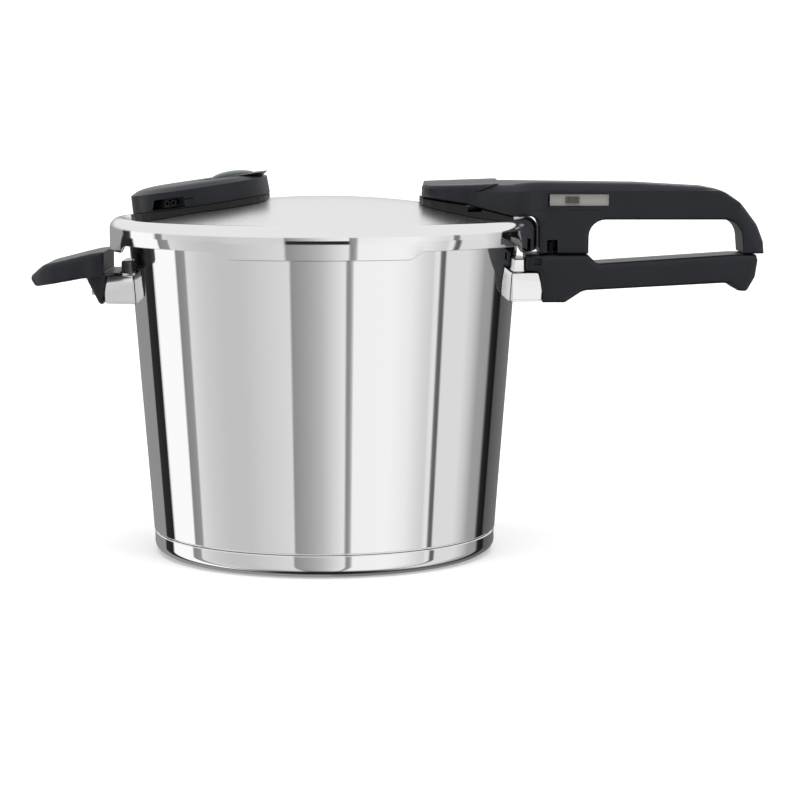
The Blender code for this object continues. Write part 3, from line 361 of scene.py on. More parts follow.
foot_r = wall_r(BASE_H + 0.0011)
floor_r = wall_r(BASE_H) - WALL_T
pot_corners = [
    (0, FLOOR_Z + WALL_T, 0), (floor_r - 0.0050, FLOOR_Z + WALL_T, 0.0060),
    (floor_r, BASE_H + 0.0045, 0.0080),
    (MOUTH_R - 0.0004, POT_H - 0.0016, 0.0010), (MOUTH_R + 0.0008, POT_H, 0.0010), (LUG_R, POT_H, 0.0012),
    (LUG_R, POT_H - FLANGE_DROP, 0.0003), (LUG_R - WALL_T, POT_H - FLANGE_DROP, 0.0003),
    (LUG_R - WALL_T, POT_H - WALL_T, 0.0004), (wall_r(POT_H - WALL_T) + 0.0002, POT_H - WALL_T, 0.0010),
    (foot_r, BASE_H + 0.0011, 0.0004), (foot_r - 0.0010, BASE_H + 0.0003, 0),
    (foot_r - 0.0048, FLOOR_Z + 0.0012, 0.001),
    (foot_r - 0.0085, FLOOR_Z, 0.002), (0, FLOOR_Z, 0),
]
pot_line = rounded_line(pot_corners, 5)
inside_share = np.zeros(len(pot_line))
inside_share[: int(np.argmax(pot_line[:, 0] > MOUTH_R - 0.001))] = 1.0


def smooth_step(value, low, high):
    share = np.clip((value - low) / (high - low), 0, 1)
    return share * share * (3 - 2 * share)


def off_quarter(angle):
    """Degrees from the nearest of the four wing directions (0, 90, 180 and 270)."""
    return np.abs((angle + 45) % 90 - 45)


def rim_lugs(angle, radius, height):
    """Cuts the turned-down edge of the rim back between the lugs."""
    gap = smooth_step(off_quarter(angle), LUG_HALF - 0.4, LUG_HALF + 0.4)
    edge = smooth_step(radius, LUG_R - 0.0030, LUG_R - 0.0012) * (height > POT_H - 0.012)
    top = POT_H - 0.0010
    return radius - gap * edge * 0.0027, height + gap * edge * np.maximum(top - height, 0) * 0.86


pot_shell = turned("pot_shell", pot_line[::-1], 240, rim_lugs, attribute=("inside", inside_share[::-1]))
pot_steel = polished_steel("pot_mirror_steel")
nodes, links = pot_steel.node_tree.nodes, pot_steel.node_tree.links
shader = nodes["Principled BSDF"]
inside = nodes.new("ShaderNodeAttribute")
inside.attribute_name = "inside"
old_rough = shader.inputs["Roughness"].links[0].from_socket
links.new(blended(nodes, links, inside.outputs["Fac"], old_rough, 0.28), shader.inputs["Roughness"])
dress(pot_shell, pot_steel, "pot", ["pot_body"])

capsule_r = foot_r - 0.0004
capsule = rounded_line([
    (0, 0.0010, 0), (capsule_r - 0.0078, 0.0010, 0.0052), (capsule_r - 0.0010, 0.0062, 0.004),
    (capsule_r - 0.0010, BASE_H - 0.0002, 0), (capsule_r - 0.0004, BASE_H - 0.0002, 0.0002),
    (capsule_r, BASE_H - 0.0006, 0.0004), (capsule_r, 0.0036, 0.0056), (capsule_r - 0.0060, 0.0, 0.0060),
    (0, 0.0, 0),
], 10)
base_cup = turned("base_cup", capsule, 240)
dress(base_cup, polished_steel("base_mirror_steel"), "pot", ["base_capsule"])


# ---------------------------------------------------------------------------------------------------------
# Lid: a pressed steel dome with a raised ring and a deep skirt. Four wings of the skirt reach lower, and
# their edges are bent in to pass under the rim's lugs.

LID_T, LID_R, RIDGE_R = 0.0010, 0.1216, 0.0062
SKIRT_IN = LID_R - LID_T
RIDGE_Z = POT_H + 0.0079
DOME_TOP, DOME_R, DOME_EDGE = POT_H + 0.0193, LID_R - 2 * RIDGE_R, RIDGE_Z - 0.0022
WING_Z, SHALLOW_Z, WING_HALF, WING_BLEND = POT_H - 0.0102, POT_H - 0.0060, 23.3, 4.4
TAB_IN = LUG_R + 0.0007


def dome_z(r):
    return DOME_TOP - (DOME_TOP - DOME_EDGE) * (r / DOME_R) ** 2


def lid_line(inset):
    """The lid's line from the axis out over the dome, the gutter and the ring, moved in by `inset`."""
    radii = np.linspace(0, DOME_R - 0.0010, 40)
    dome = np.stack([radii, dome_z(radii) - inset], -1)
    swing = np.radians(np.linspace(118, 0, 22))
    ring = np.stack([LID_R - RIDGE_R + (RIDGE_R - inset) * np.cos(swing),
        RIDGE_Z - RIDGE_R + (RIDGE_R - inset) * np.sin(swing)], -1)
    return np.vstack([dome, ring])


edge_z = WING_Z
skirt_edge = rounded_line([
    (LID_R, POT_H + 0.0005, 0), (LID_R, edge_z, 0.0006), (TAB_IN, edge_z, 0.0003),
    (TAB_IN, edge_z + LID_T, 0.0003),
    (SKIRT_IN, edge_z + LID_T, 0.0002), (SKIRT_IN, POT_H, 0),
], 4)
lid_profile = np.vstack([lid_line(0), skirt_edge, lid_line(LID_T)[::-1]])
lid_profile[0, 0] = lid_profile[-1, 0] = 0


def skirt_wings(angle, radius, height):
    """Raises the skirt's edge between the wings along an S, and straightens the bent-in tabs there."""
    off = off_quarter(angle)
    open_share = smooth_step(off, WING_HALF, WING_HALF + WING_BLEND)
    knee = POT_H
    below = np.maximum(knee - height, 0) / (knee - WING_Z)
    lifted = height + below * (SHALLOW_Z - WING_Z) * open_share
    tab = smooth_step(off, WING_HALF - 4.0, WING_HALF - 3.0)
    wide = np.where(height < edge_z + 2 * LID_T, np.maximum(radius, SKIRT_IN), radius)
    return radius + (wide - radius) * tab, lifted


lid_dome = turned("lid_dome", lid_profile, 720, skirt_wings)
lid_steel = polished_steel("lid_mirror_steel")
nodes, links = lid_steel.node_tree.nodes, lid_steel.node_tree.links
shader = nodes["Principled BSDF"]
flat = nodes.new("ShaderNodeVectorMath")
flat.operation = "MULTIPLY"
flat.inputs[1].default_value = (1.0, 1.0, 0.0)
links.new(nodes.new("ShaderNodeTexCoord").outputs["Object"], flat.inputs[0])
span = nodes.new("ShaderNodeVectorMath")
span.operation = "LENGTH"
links.new(flat.outputs["Vector"], span.inputs[0])
mirror_share = band(nodes, links, span.outputs["Value"], 0.1075, 0.1092)
mirror_rough = shader.inputs["Roughness"].links[0].from_socket
links.new(blended(nodes, links, mirror_share, 0.26, mirror_rough), shader.inputs["Roughness"])
dress(lid_dome, lid_steel, "lid", ["lid_shell"])

silicone, nodes, links, shader = base_material("seal_silicone", (0.42, 0.43, 0.44), 0.5, 0.0)
where = nodes.new("ShaderNodeTexCoord")
seal_mottle = nodes.new("ShaderNodeTexNoise")
seal_mottle.inputs["Scale"].default_value = 120.0
links.new(where.outputs["Object"], seal_mottle.inputs["Vector"])
seal_range = nodes.new("ShaderNodeMapRange")
seal_range.inputs["To Min"].default_value, seal_range.inputs["To Max"].default_value = 0.42, 0.62
links.new(seal_mottle.outputs["Fac"], seal_range.inputs["Value"])
links.new(seal_range.outputs["Result"], shader.inputs["Roughness"])
seal_low, seal_high = POT_H + 0.0003, RIDGE_Z - LID_T - 0.0014
seal_in, seal_out = MOUTH_R + 0.0022, SKIRT_IN - 0.0004
lip = (seal_high - seal_low) * 0.36
seal_line = rounded_line([
    (seal_in, seal_high, 0.0004), (seal_out - 0.0022, seal_high, 0.001),
    (seal_out, seal_high - 0.0030, 0.001),
    (seal_out, seal_low, 0.0006), (seal_in, seal_low, 0.0004), (seal_in, seal_low + lip, 0.0004),
    (seal_out - 0.0036, seal_low + lip, 0.0005), (seal_out - 0.0036, seal_high - lip, 0.0005),
    (seal_in, seal_high - lip, 0.0004),
], 4, closed=True)
dress(turned("seal_ring", seal_line, 192), silicone, "lid_seal", ["sealing_ring"])

# ---------------------------------------------------------------------------------------------------------
# Lid handle: a satin moulding whose hood lies over the dome and narrows to the long grip. Its side windows
# show the release slider, a pocket takes the pot handle's catch, and a base plate under it fits the dome.

def crossings_inside(points, polygon):
    """True where a point lies in a polygon: an odd number of its sides cross the ray from the point towards
    +x."""
    x, y = points[:, None, 0], points[:, None, 1]
    x0, y0 = polygon[None, :, 0], polygon[None, :, 1]
    x1, y1 = np.roll(polygon, -1, 0)[None, :, 0], np.roll(polygon, -1, 0)[None, :, 1]
    rise = np.where(y1 == y0, 1e-12, y1 - y0)
    return (((y0 > y) != (y1 > y)) & (x < x0 + (y - y0) * (x1 - x0) / rise)).sum(1) % 2 == 1


def edge_distance(points, polygon):
    """Distance from each point to the nearest side of a polygon."""
    start, side = polygon[None], (np.roll(polygon, -1, 0) - polygon)[None]
    share = ((points[:, None] - start) * side).sum(-1) / np.maximum((side ** 2).sum(-1), 1e-18)
    return np.linalg.norm(points[:, None] - start - np.clip(share, 0, 1)[..., None] * side, axis=-1).min(1)


def resampled(line, spacing):
    """A closed anticlockwise line with points added on its sides, so that no step is longer than
    `spacing`."""
    line = np.asarray(line, float)
    line = line[np.linalg.norm(np.roll(line, -1, 0) - line, axis=1) > 2e-5]
    x, y = line[:, 0], line[:, 1]
    if (x * np.roll(y, -1) - y * np.roll(x, -1)).sum() < 0:
        line = line[::-1]
    sides = zip(line, np.roll(line, -1, 0))
    return np.vstack([
        a + (b - a) * np.linspace(0, 1, max(math.ceil(np.linalg.norm(b - a) / spacing), 1),
            endpoint=False)[:, None]
        for a, b in sides
    ])


def inset(line, depth):
    """A closed anticlockwise line moved inwards by `depth` along the normals at its points."""
    tangent = np.roll(line, -1, 0) - np.roll(line, 1, 0)
    tangent /= np.maximum(np.linalg.norm(tangent, axis=1), 1e-12)[:, None]
    return line + depth * np.stack([-tangent[:, 1], tangent[:, 0]], -1)


STEP_GAP = 0.00014       # width of the steep strip at every step in a moulding's side


def side_faces(outline, holes, steps, soft, spacing):
    """Points (x, z) and triangles of a moulding's side: the outline, lines inside it for the soft edge, a
    pair of lines along each step and a staggered grid, joined by a constrained triangulation."""
    fixed = [outline, *holes]
    starts = np.cumsum([0] + [len(loop) for loop in fixed])
    edges = [np.stack([np.arange(len(loop)), np.roll(np.arange(len(loop)), -1)], -1) + a for loop,
        a in zip(fixed, starts)]
    total, step_lines = starts[-1], []
    for line in steps:
        for track in (line, inset(line, STEP_GAP)):
            kept = crossings_inside(track, outline) & (edge_distance(track, outline) > 0.00025)
            index = np.cumsum(kept) - 1 + total
            pairs = kept & np.roll(kept, -1)
            edges.append(np.stack([index[pairs], np.roll(index, -1)[pairs]], -1))
            fixed.append(track[kept])
            step_lines.append(track)
            total += int(kept.sum())
    rings = [inset(outline, share * soft) for share in (0.06, 0.25, 0.55, 1.0)]
    rings = [ring[edge_distance(ring, outline) > 0.94 * share * soft] for ring,
        share in zip(rings, (0.06, 0.25, 0.55, 1.0))]
    low, high = outline.min(0), outline.max(0)
    across, up = np.meshgrid(np.arange(low[0], high[0], spacing), np.arange(low[1], high[1], spacing))
    grid = np.stack([across + (np.arange(len(across)) % 2)[:, None] * spacing / 2, up], -1).reshape(-1, 2)
    grid = grid[crossings_inside(grid, outline)]
    grid = grid[edge_distance(grid, outline) > soft * 1.25]
    loose = np.vstack(rings + [grid])
    loose = loose[crossings_inside(loose, outline)]
    for loop in [*holes, *step_lines]:
        loose = loose[edge_distance(loose, loop) > 0.00022]
    flat = [Vector(p) for p in np.vstack([*fixed, loose])]
    points, _, faces, _, _, _ = delaunay_2d_cdt(flat, np.vstack(edges).tolist(), [], 0, 1e-7)
    points, faces = np.array([tuple(p) for p in points]), np.array([tuple(f) for f in faces])
    middle = points[faces].mean(1)
    kept = crossings_inside(middle, outline)
    for loop in holes:
        kept &= ~crossings_inside(middle, loop)
    faces = faces[kept]
    a, b, c = (points[faces[:, k]] for k in range(3))
    clockwise = (b - a)[:, 0] * (c - a)[:, 1] < (b - a)[:, 1] * (c - a)[:, 0]
    faces[clockwise] = faces[clockwise][:, ::-1]
    return points, faces, starts


def moulding(name, outline, front, back, soft=0.0022, window=None, chamber=None, steps=(), spacing=0.0022,
    bend=None):
    """A moulded body drawn from its side. A side point (x, z) at depth d inside the outline lies at y =
    W(x, z) - soft * (1 - sqrt(1 - (1 - d / soft)^2)), where W is `front` or `back`, and a strip joins the
    two sides round the outline. A window opens into a chamber of the box `chamber`, and `bend` may move the
    points."""
    outline = resampled(outline, 0.0009)
    holes = [] if window is None else [resampled(window, 0.0012)]
    flat, faces, starts = side_faces(outline, holes, [resampled(line, 0.0012) for line in steps], soft,
        spacing)
    depth = np.clip(edge_distance(flat, outline) / soft, 0, 1)
    drop = soft * (1 - np.sqrt(1 - (1 - depth) ** 2))
    count = len(flat)
    points = np.vstack([
        np.stack([flat[:, 0], drop - front(flat), flat[:, 1]], -1),
        np.stack([flat[:, 0], back(flat) - drop, flat[:, 1]], -1),
    ])
    rim = np.arange(len(outline))
    share = np.linspace(0, 1, 17)[1:-1]
    across = points[rim][:, None] + (points[rim + count] - points[rim])[:, None] * share[None, :, None]
    strips = [(rim, across, False)]
    if window is not None:
        edge = np.arange(starts[1], starts[2])
        (x0, half_y, z0), (x1, _, z1) = chamber
        low, size = flat[edge].min(0), np.ptp(flat[edge], axis=0)
        wide = (flat[edge] - low) / size * (x1 - x0, z1 - z0) + (x0, z0)
        levels = [(flat[edge], -half_y), (wide, -half_y), (wide, half_y), (flat[edge], half_y)]
        inner = np.stack([np.stack([p[:, 0], np.full(len(edge), y), p[:, 1]], -1) for p, y in levels], 1)
        strips.append((edge, inner, True))
    quads, total = [], len(points)
    for loop, middle, inward in strips:
        fresh = total + np.arange(middle.shape[0] * middle.shape[1]).reshape(middle.shape[:2])
        points, total = np.vstack([points, middle.reshape(-1, 3)]), total + fresh.size
        index = np.hstack([loop[:, None], fresh, loop[:, None] + count])
        following = np.roll(index, -1, 0)
        quad = np.stack([index[:, :-1], index[:, 1:], following[:, 1:], following[:, :-1]], -1).reshape(-1, 4)
        quads.append(quad if inward else quad[:, ::-1])
    if bend is not None:
        points = bend(points)
    return sheet_mesh(name, points,
        faces.tolist() + (faces[:, ::-1] + count).tolist() + np.vstack(quads).tolist())


def moulded_plastic(name, color, roughness):
    """Satin moulded plastic: fine spark-eroded grain, and faint flow clouds in the colour."""
    material, nodes, links, shader = base_material(name, color, roughness, 0.0)
    shader.inputs["Specular IOR Level"].default_value = 0.38
    where = nodes.new("ShaderNodeTexCoord")
    clouds = nodes.new("ShaderNodeTexNoise")
    clouds.inputs["Scale"].default_value = 30.0
    clouds.inputs["Detail"].default_value = 3.0
    links.new(where.outputs["Object"], clouds.inputs["Vector"])
    tint = nodes.new("ShaderNodeValToRGB")
    tint.color_ramp.elements[0].position, tint.color_ramp.elements[1].position = 0.3, 0.75
    tint.color_ramp.elements[0].color = (*(0.90 * c for c in color), 1.0)
    tint.color_ramp.elements[1].color = (*(1.10 * c for c in color), 1.0)
    links.new(clouds.outputs["Fac"], tint.inputs["Fac"])
    links.new(tint.outputs["Color"], shader.inputs["Base Color"])
    grain = nodes.new("ShaderNodeTexNoise")
    grain.inputs["Scale"].default_value = 2600.0
    grain.inputs["Detail"].default_value = 2.0
    links.new(where.outputs["Object"], grain.inputs["Vector"])
    rub = nodes.new("ShaderNodeMapRange")
    rub.inputs["To Min"].default_value = roughness * 0.88
    rub.inputs["To Max"].default_value = roughness * 1.14
    links.new(grain.outputs["Fac"], rub.inputs["Value"])
    links.new(rub.outputs["Result"], shader.inputs["Roughness"])
    bump = nodes.new("ShaderNodeBump")
    bump.inputs["Strength"].default_value = 0.06
    bump.inputs["Distance"].default_value = 0.0002
    links.new(grain.outputs["Fac"], bump.inputs["Height"])
    links.new(bump.outputs["Normal"], shader.inputs["Normal"])
    return material


SPLIT_Z = POT_H - 0.0129
HANDLE_LOW = SPLIT_Z + 0.0002
HANDLE_TOP = RIDGE_Z + 0.0203
HOOD_X, TIP_X = LID_R - 0.0660, LID_R + 0.1279
GRIP_X0, GRIP_X1, GRIP_TOP = LID_R + 0.0285, LID_R + 0.1147, HANDLE_LOW + 0.0192
GRIP_HALF, HOOD_HALF = 0.018, 0.044
POCKET_X0, POCKET_X1, POCKET_TOP = LID_R + 0.0049, LID_R + 0.0109, HANDLE_LOW + 0.0080
SLIDER_X0, SLIDER_X1, SLIDER_Z, SLIDER_H = LID_R + 0.0065, LID_R + 0.0399, RIDGE_Z + 0.0064, 0.0065

lid_handle_line = rounded_line([
    (HOOD_X + 0.0004, RIDGE_Z + 0.0115, 0.0005), (HOOD_X + 0.0245, RIDGE_Z + 0.0080, 0.004),
    (LID_R - 0.0144, RIDGE_Z + 0.0007, 0.0030), (LID_R + 0.0007, RIDGE_Z + 0.0007, 0.0062),
    (LID_R + 0.0007, HANDLE_LOW, 0.0004),
    (POCKET_X0, HANDLE_LOW, 0), (POCKET_X0 + STEP_GAP, HANDLE_LOW, 0), (POCKET_X1 - STEP_GAP, HANDLE_LOW, 0),
    (POCKET_X1, HANDLE_LOW, 0), (GRIP_X0, HANDLE_LOW, 0.0008), (GRIP_X0 + 0.0002, GRIP_TOP, 0.0140),
    (GRIP_X1, GRIP_TOP, 0.0130), (GRIP_X1 + 0.0016, HANDLE_LOW, 0.0008), (TIP_X, HANDLE_LOW, 0.0008),
    (TIP_X - 0.0001, HANDLE_TOP - 0.0345, 0.010), (TIP_X - 0.0038, HANDLE_TOP - 0.0247, 0.014),
    (TIP_X - 0.0129, HANDLE_TOP - 0.0126, 0.014), (TIP_X - 0.0239, HANDLE_TOP - 0.0050, 0.014),
    (TIP_X - 0.0348, HANDLE_TOP - 0.0028, 0.014), (TIP_X - 0.0730, HANDLE_TOP - 0.0007, 0.02),
    (HOOD_X + 0.0432, HANDLE_TOP + 0.0003, 0.0003), (HOOD_X + 0.0424, HANDLE_TOP + 0.0012, 0.0004),
    (HOOD_X + 0.0016, HANDLE_TOP - 0.0002, 0.0008),
], 6, closed=True)
HOOD_SPREAD = np.array([
    (0.0, 0.077), (0.0015, 0.327), (0.0060, 0.596), (0.0140, 0.865), (0.0244, 1.0), (0.0330, 0.969),
    (0.0430, 0.731),
    (0.0530, 0.385), (0.0600, 0.115), (0.0680, 0.0), (0.2000, 0.0),
])
spread_x = np.linspace(0, 0.2, 1201)
spread = np.interp(spread_x, *HOOD_SPREAD.T)
spread = np.convolve(np.pad(spread, 18, "edge"), np.ones(37) / 37, "valid")
shoulder_line = np.array([
    (HOOD_X + 0.0250, RIDGE_Z + 0.0155), (HOOD_X + 0.0423, HANDLE_TOP + 0.0013),
    (HOOD_X + 0.0423, HANDLE_TOP + 0.0100),
    (TIP_X + 0.02, HANDLE_TOP + 0.0100), (TIP_X + 0.02, RIDGE_Z + 0.0155),
])
panel_line = rounded_line([
    (LID_R - 0.0105, 0.1500, 0), (GRIP_X0 + 0.0080, 0.1500, 0), (GRIP_X0 + 0.0080, RIDGE_Z + 0.0042, 0.0030),
    (LID_R - 0.0105, RIDGE_Z + 0.0042, 0.0075),
], 8, closed=True)
pocket_line = rounded_line([
    (POCKET_X0, 0.1600, 0), (POCKET_X1, 0.1600, 0), (POCKET_X1, POCKET_TOP, 0.0004),
    (POCKET_X0, POCKET_TOP, 0.0004),
], 3, closed=True)
slider_window = rounded_line([
    (SLIDER_X0 - 0.0018, SLIDER_Z - 0.0003, 0.0010), (SLIDER_X1 + 0.0003, SLIDER_Z - 0.0003, 0.0010),
    (SLIDER_X1 + 0.0003, SLIDER_Z + SLIDER_H + 0.0003, 0.0010),
    (SLIDER_X0 - 0.0018, SLIDER_Z + SLIDER_H + 0.0003, 0.0010),
], 4, closed=True)


def within(points, line):
    """True inside a step line, tested halfway across its steep strip."""
    return crossings_inside(points, inset(resampled(line, 0.0012), STEP_GAP / 2))


TOP_LINE = np.array([
    (TIP_X, HANDLE_LOW + 0.004), (TIP_X - 0.0001, HANDLE_TOP - 0.0345), (TIP_X - 0.0038, HANDLE_TOP - 0.0247),
    (TIP_X - 0.0129, HANDLE_TOP - 0.0126), (TIP_X - 0.0239, HANDLE_TOP - 0.0050),
    (TIP_X - 0.0348, HANDLE_TOP - 0.0028),
    (TIP_X - 0.0730, HANDLE_TOP - 0.0007), (HOOD_X + 0.0400, HANDLE_TOP + 0.0003),
    (HOOD_X, HANDLE_TOP + 0.0003),
    (0.0, 0.30), (0.40, 0.30),
])


def handle_half(points):
    """Half width of the lid handle: the hood's plan, less the shoulder that slopes in along its top edge,
    plus the side panel, which stands 0.4 mm proud."""
    half = GRIP_HALF + (HOOD_HALF - GRIP_HALF) * np.interp(points[:, 0] - HOOD_X, spread_x, spread)
    shoulder = np.maximum(0.0043 - edge_distance(points, TOP_LINE), 0) * 0.62
    shoulder *= within(points, resampled(shoulder_line, 0.001)) | (points[:, 0] > GRIP_X1)
    return half - shoulder - 0.0004 * ~within(points, panel_line)


def handle_front(points):
    pocket = within(points, pocket_line)
    return np.where(pocket, -0.0058, handle_half(points))


def handle_crown(points):
    """Lowers the top towards both sides along a shallow arc, and hollows the underside over the vent
    valve."""
    x, y, z = points.T
    top = smooth_step(z, HANDLE_TOP - 0.008, HANDLE_TOP - 0.002)
    pit = (np.hypot(x - 0.066, y) < 0.0105) & (z < RIDGE_Z + 0.013)
    z = z - top * 0.0009 * np.minimum((y / GRIP_HALF) ** 2, 2.0) + pit * 0.0056
    return np.stack([x, y, z], -1)


HANDLE_COLOR = (0.0085, 0.0100, 0.0150)
handle_plastic = moulded_plastic("handle_plastic", HANDLE_COLOR, 0.35)
lid_handle = moulding(
    "lid_handle_moulding", lid_handle_line, handle_front, handle_half, 0.0020, slider_window,
    ((SLIDER_X0 - 0.0075, 0.0166, SLIDER_Z - 0.0004),
        (SLIDER_X1 + 0.0010, 0.0166, SLIDER_Z + SLIDER_H + 0.0004)),
    [shoulder_line, panel_line, pocket_line], bend=handle_crown,
)
dress(lid_handle, handle_plastic, "lid", ["lid_handle"])


# ---------------------------------------------------------------------------------------------------------
# Long pot handle: the lower half of the grip, a satin moulding screwed to the pot's bracket. It has a small
# pocket under the lid handle's root, and its end turns down.

POT_TOP = SPLIT_Z - 0.0002
GUARD_TOP = SPLIT_Z - 0.0026
GUARD_FOOT = GUARD_TOP - 0.0243
GUARD_X = wall_r(GUARD_FOOT) + 0.0160
NECK_GAP = GUARD_X - 0.0095
LATCH_X0, LATCH_X1, LATCH_Z0, LATCH_Z1 = GUARD_X - 0.0045, GUARD_X - 0.0005, POT_TOP - 0.0062, POT_TOP - 0.0020
pot_handle_line = rounded_line([
    (NECK_GAP, POT_TOP, 0.0006), (NECK_GAP, GUARD_FOOT + 0.0173, 0.0004),
    (GUARD_X - 0.0019, GUARD_FOOT + 0.0165, 0.0012),
    (GUARD_X + 0.0003, GUARD_FOOT - 0.0006, 0.0004), (GRIP_X0 - 0.0131, GUARD_FOOT - 0.0006, 0.0022),
    (GRIP_X0 - 0.0028, POT_TOP - 0.0205, 0.0100), (TIP_X - 0.0205, POT_TOP - 0.0161, 0.0080),
    (TIP_X - 0.0145, POT_TOP - 0.0206, 0.0040), (TIP_X - 0.0095, POT_TOP - 0.0209, 0.0022),
    (TIP_X - 0.0048, POT_TOP - 0.0127, 0.0070), (TIP_X - 0.0034, POT_TOP - 0.0030, 0.0030),
    (TIP_X - 0.0044, POT_TOP, 0.0010),
    (TIP_X - 0.0169, POT_TOP, 0.0080), (GRIP_X0 + 0.0047, POT_TOP - 0.0051, 0.0040),
    (GRIP_X0 - 0.0003, POT_TOP, 0.0022),
], 6, closed=True)
latch_line = rounded_line([
    (LATCH_X0, LATCH_Z0, 0.0003), (LATCH_X1, LATCH_Z0, 0.0003), (LATCH_X1, LATCH_Z1, 0.0003),
    (LATCH_X0, LATCH_Z1, 0.0003),
], 3, closed=True)


def pot_handle_half(points):
    """Half width of the pot handle: parallel sides with a square pocket 3 mm deep."""
    return 0.0178 - 0.0030 * within(points, latch_line)


pot_handle = moulding("pot_handle_moulding", pot_handle_line, pot_handle_half, pot_handle_half, 0.0026,
    steps=[latch_line])
dress(pot_handle, handle_plastic, "pot", ["pot_handle"])


# ---------------------------------------------------------------------------------------------------------
# Helper handle: a broad finger plate with a boss under it, moulded in one and screwed to the other bracket.

HELPER_TOP = SPLIT_Z + 0.0024
WING_IN, WING_OUT = LID_R + 0.0012, LID_R + 0.0453
ROOT_FOOT = GUARD_FOOT - 0.0020
helper_line = rounded_line([
    (WING_IN, HELPER_TOP - 0.0002, 0.0010), (WING_IN, HELPER_TOP - 0.0122, 0.0004),
    (NECK_GAP, HELPER_TOP - 0.0122, 0.0004),
    (NECK_GAP, GUARD_FOOT + 0.0163, 0.0004), (GUARD_X - 0.0019, GUARD_FOOT + 0.0155, 0.0010),
    (GUARD_X + 0.0007, ROOT_FOOT + 0.0002, 0.0008), (GUARD_X + 0.0029, ROOT_FOOT + 0.0012, 0.0030),
    (GUARD_X + 0.0085, HELPER_TOP - 0.0190, 0.0080), (WING_IN + 0.0115, HELPER_TOP - 0.0150, 0.0040),
    (WING_OUT - 0.0044, HELPER_TOP - 0.0204, 0.0030), (WING_OUT - 0.0004, HELPER_TOP - 0.0155, 0.0028),
    (WING_OUT - 0.0099, HELPER_TOP - 0.0078, 0.0060), (WING_IN + 0.0080, HELPER_TOP - 0.0014, 0.0200),
], 6, closed=True)
plate_line = np.array([
    (WING_IN - 0.02, HELPER_TOP + 0.01), (WING_IN - 0.02, HELPER_TOP - 0.0120),
    (WING_IN + 0.0105, HELPER_TOP - 0.0150),
    (WING_OUT - 0.0040, HELPER_TOP - 0.0214), (WING_OUT + 0.02, HELPER_TOP - 0.0214),
    (WING_OUT + 0.02, HELPER_TOP + 0.01),
])
PLATE_SPREAD = np.array([(-0.020, 0.0270), (0.0, 0.0290), (0.008, 0.0340), (0.018, 0.0345), (0.029, 0.0310),
    (0.037, 0.0245),
                         (0.042, 0.0175), (0.050, 0.0080)])
plate_x = np.linspace(-0.02, 0.05, 701)
plate_half = np.convolve(np.pad(np.interp(plate_x, *PLATE_SPREAD.T), 25, "edge"), np.ones(51) / 51, "valid")


def helper_half(points):
    """Half width of the helper handle: the finger plate's plan above its underside, and the boss's below
    it."""
    plate = np.interp(points[:, 0] - WING_IN, plate_x, plate_half)
    return np.where(within(points, plate_line), plate, 0.0190)


def turned_round(points):
    """Half a turn about the pot's axis."""
    return points * (-1, -1, 1)


helper_handle = moulding("helper_handle_moulding", helper_line, helper_half, helper_half, 0.0024,
    steps=[plate_line],
                         bend=turned_round)
dress(helper_handle, handle_plastic, "pot", ["helper_handle"])


# ---------------------------------------------------------------------------------------------------------
# Flame guards: polished steel sleeves between each handle and the pot's wall. Each spreads towards the wall
# and has a narrow neck, and its foot turns in.

def guard_rings(foot, top):
    """Half plans (x, half width) of a guard from its foot up, as rows of a grid: both ends of a row are
    closed by the strip round the back."""
    rows = [
        (foot, -0.0022, -0.0014), (foot + 0.0002, -0.0012, -0.0004), (foot + 0.0012, -0.0010, -0.0003),
        (foot + 0.0014, -0.0004, 0.0), (foot + 0.0056, -0.0001, 0.0), (foot + 0.0060, 0.0, 0.0),
        (foot + 0.0110, -0.0008, 0.0001), (foot + 0.0158, -0.0020, 0.0002), (foot + 0.0162, -0.0024, 0.0),
        (foot + 0.0168, -0.0080, -0.0010), (foot + 0.0172, -0.0097, -0.0018),
        (foot + 0.0180, -0.0098, -0.0020),
        (top - 0.0006, -0.0098, -0.0020), (top, -0.0102, -0.0026),
    ]
    return rows


GUARD_HALF, FLARE_X = 0.0200, GUARD_X - 0.0165


def guard_mesh(name, foot, top, turn):
    """A closed loft: each row is a plan line from the wall, out along one flared side, over the front and
    back along the other, at its own height; the rows at the foot and the top are capped."""
    rows = np.array(guard_rings(foot, top))
    z, reach, spread = rows.T
    wall_x = np.sqrt((wall_r(z) + 0.0003) ** 2 - (GUARD_HALF + 0.0050) ** 2)
    front_x = GUARD_X + reach
    half = GUARD_HALF + spread
    corner = np.minimum(FLARE_X, front_x - 0.0040)
    plan = []
    for side in (-1, 1):
        line = [
            (wall_x + 0.0001, side * (half + 0.0050)), (corner - 0.0004, side * (half + 0.0004)),
            (corner + 0.0004, side * (half - 0.0001)),
            (front_x - 0.0010, side * (half - 0.0020)), (front_x - 0.0003, side * (half - 0.0024)),
            (front_x, side * (half - 0.0032)),
        ]
        plan += line if side < 0 else line[::-1]
    back = [(np.sqrt((wall_r(z) + 0.0003) ** 2 - y ** 2), np.full(len(z), y)) for y in (0.0190, 0.0110, 0.0,
        -0.0110, -0.0190)]
    plan += back
    grid = np.stack([np.stack([np.broadcast_to(x, z.shape), np.broadcast_to(y, z.shape), z], -1) for x,
        y in plan], 1)
    rows_n, around = grid.shape[:2]
    i, j = np.meshgrid(np.arange(rows_n - 1), np.arange(around), indexing="ij")
    following = (j + 1) % around
    quads = np.stack([i * around + j, i * around + following, (i + 1) * around + following,
        (i + 1) * around + j], -1).reshape(-1, 4)
    caps = [list(range(around))[::-1], [(rows_n - 1) * around + k for k in range(around)]]
    points = grid.reshape(-1, 3) * (turn, turn, 1)
    return sheet_mesh(name, points, quads.tolist() + caps)


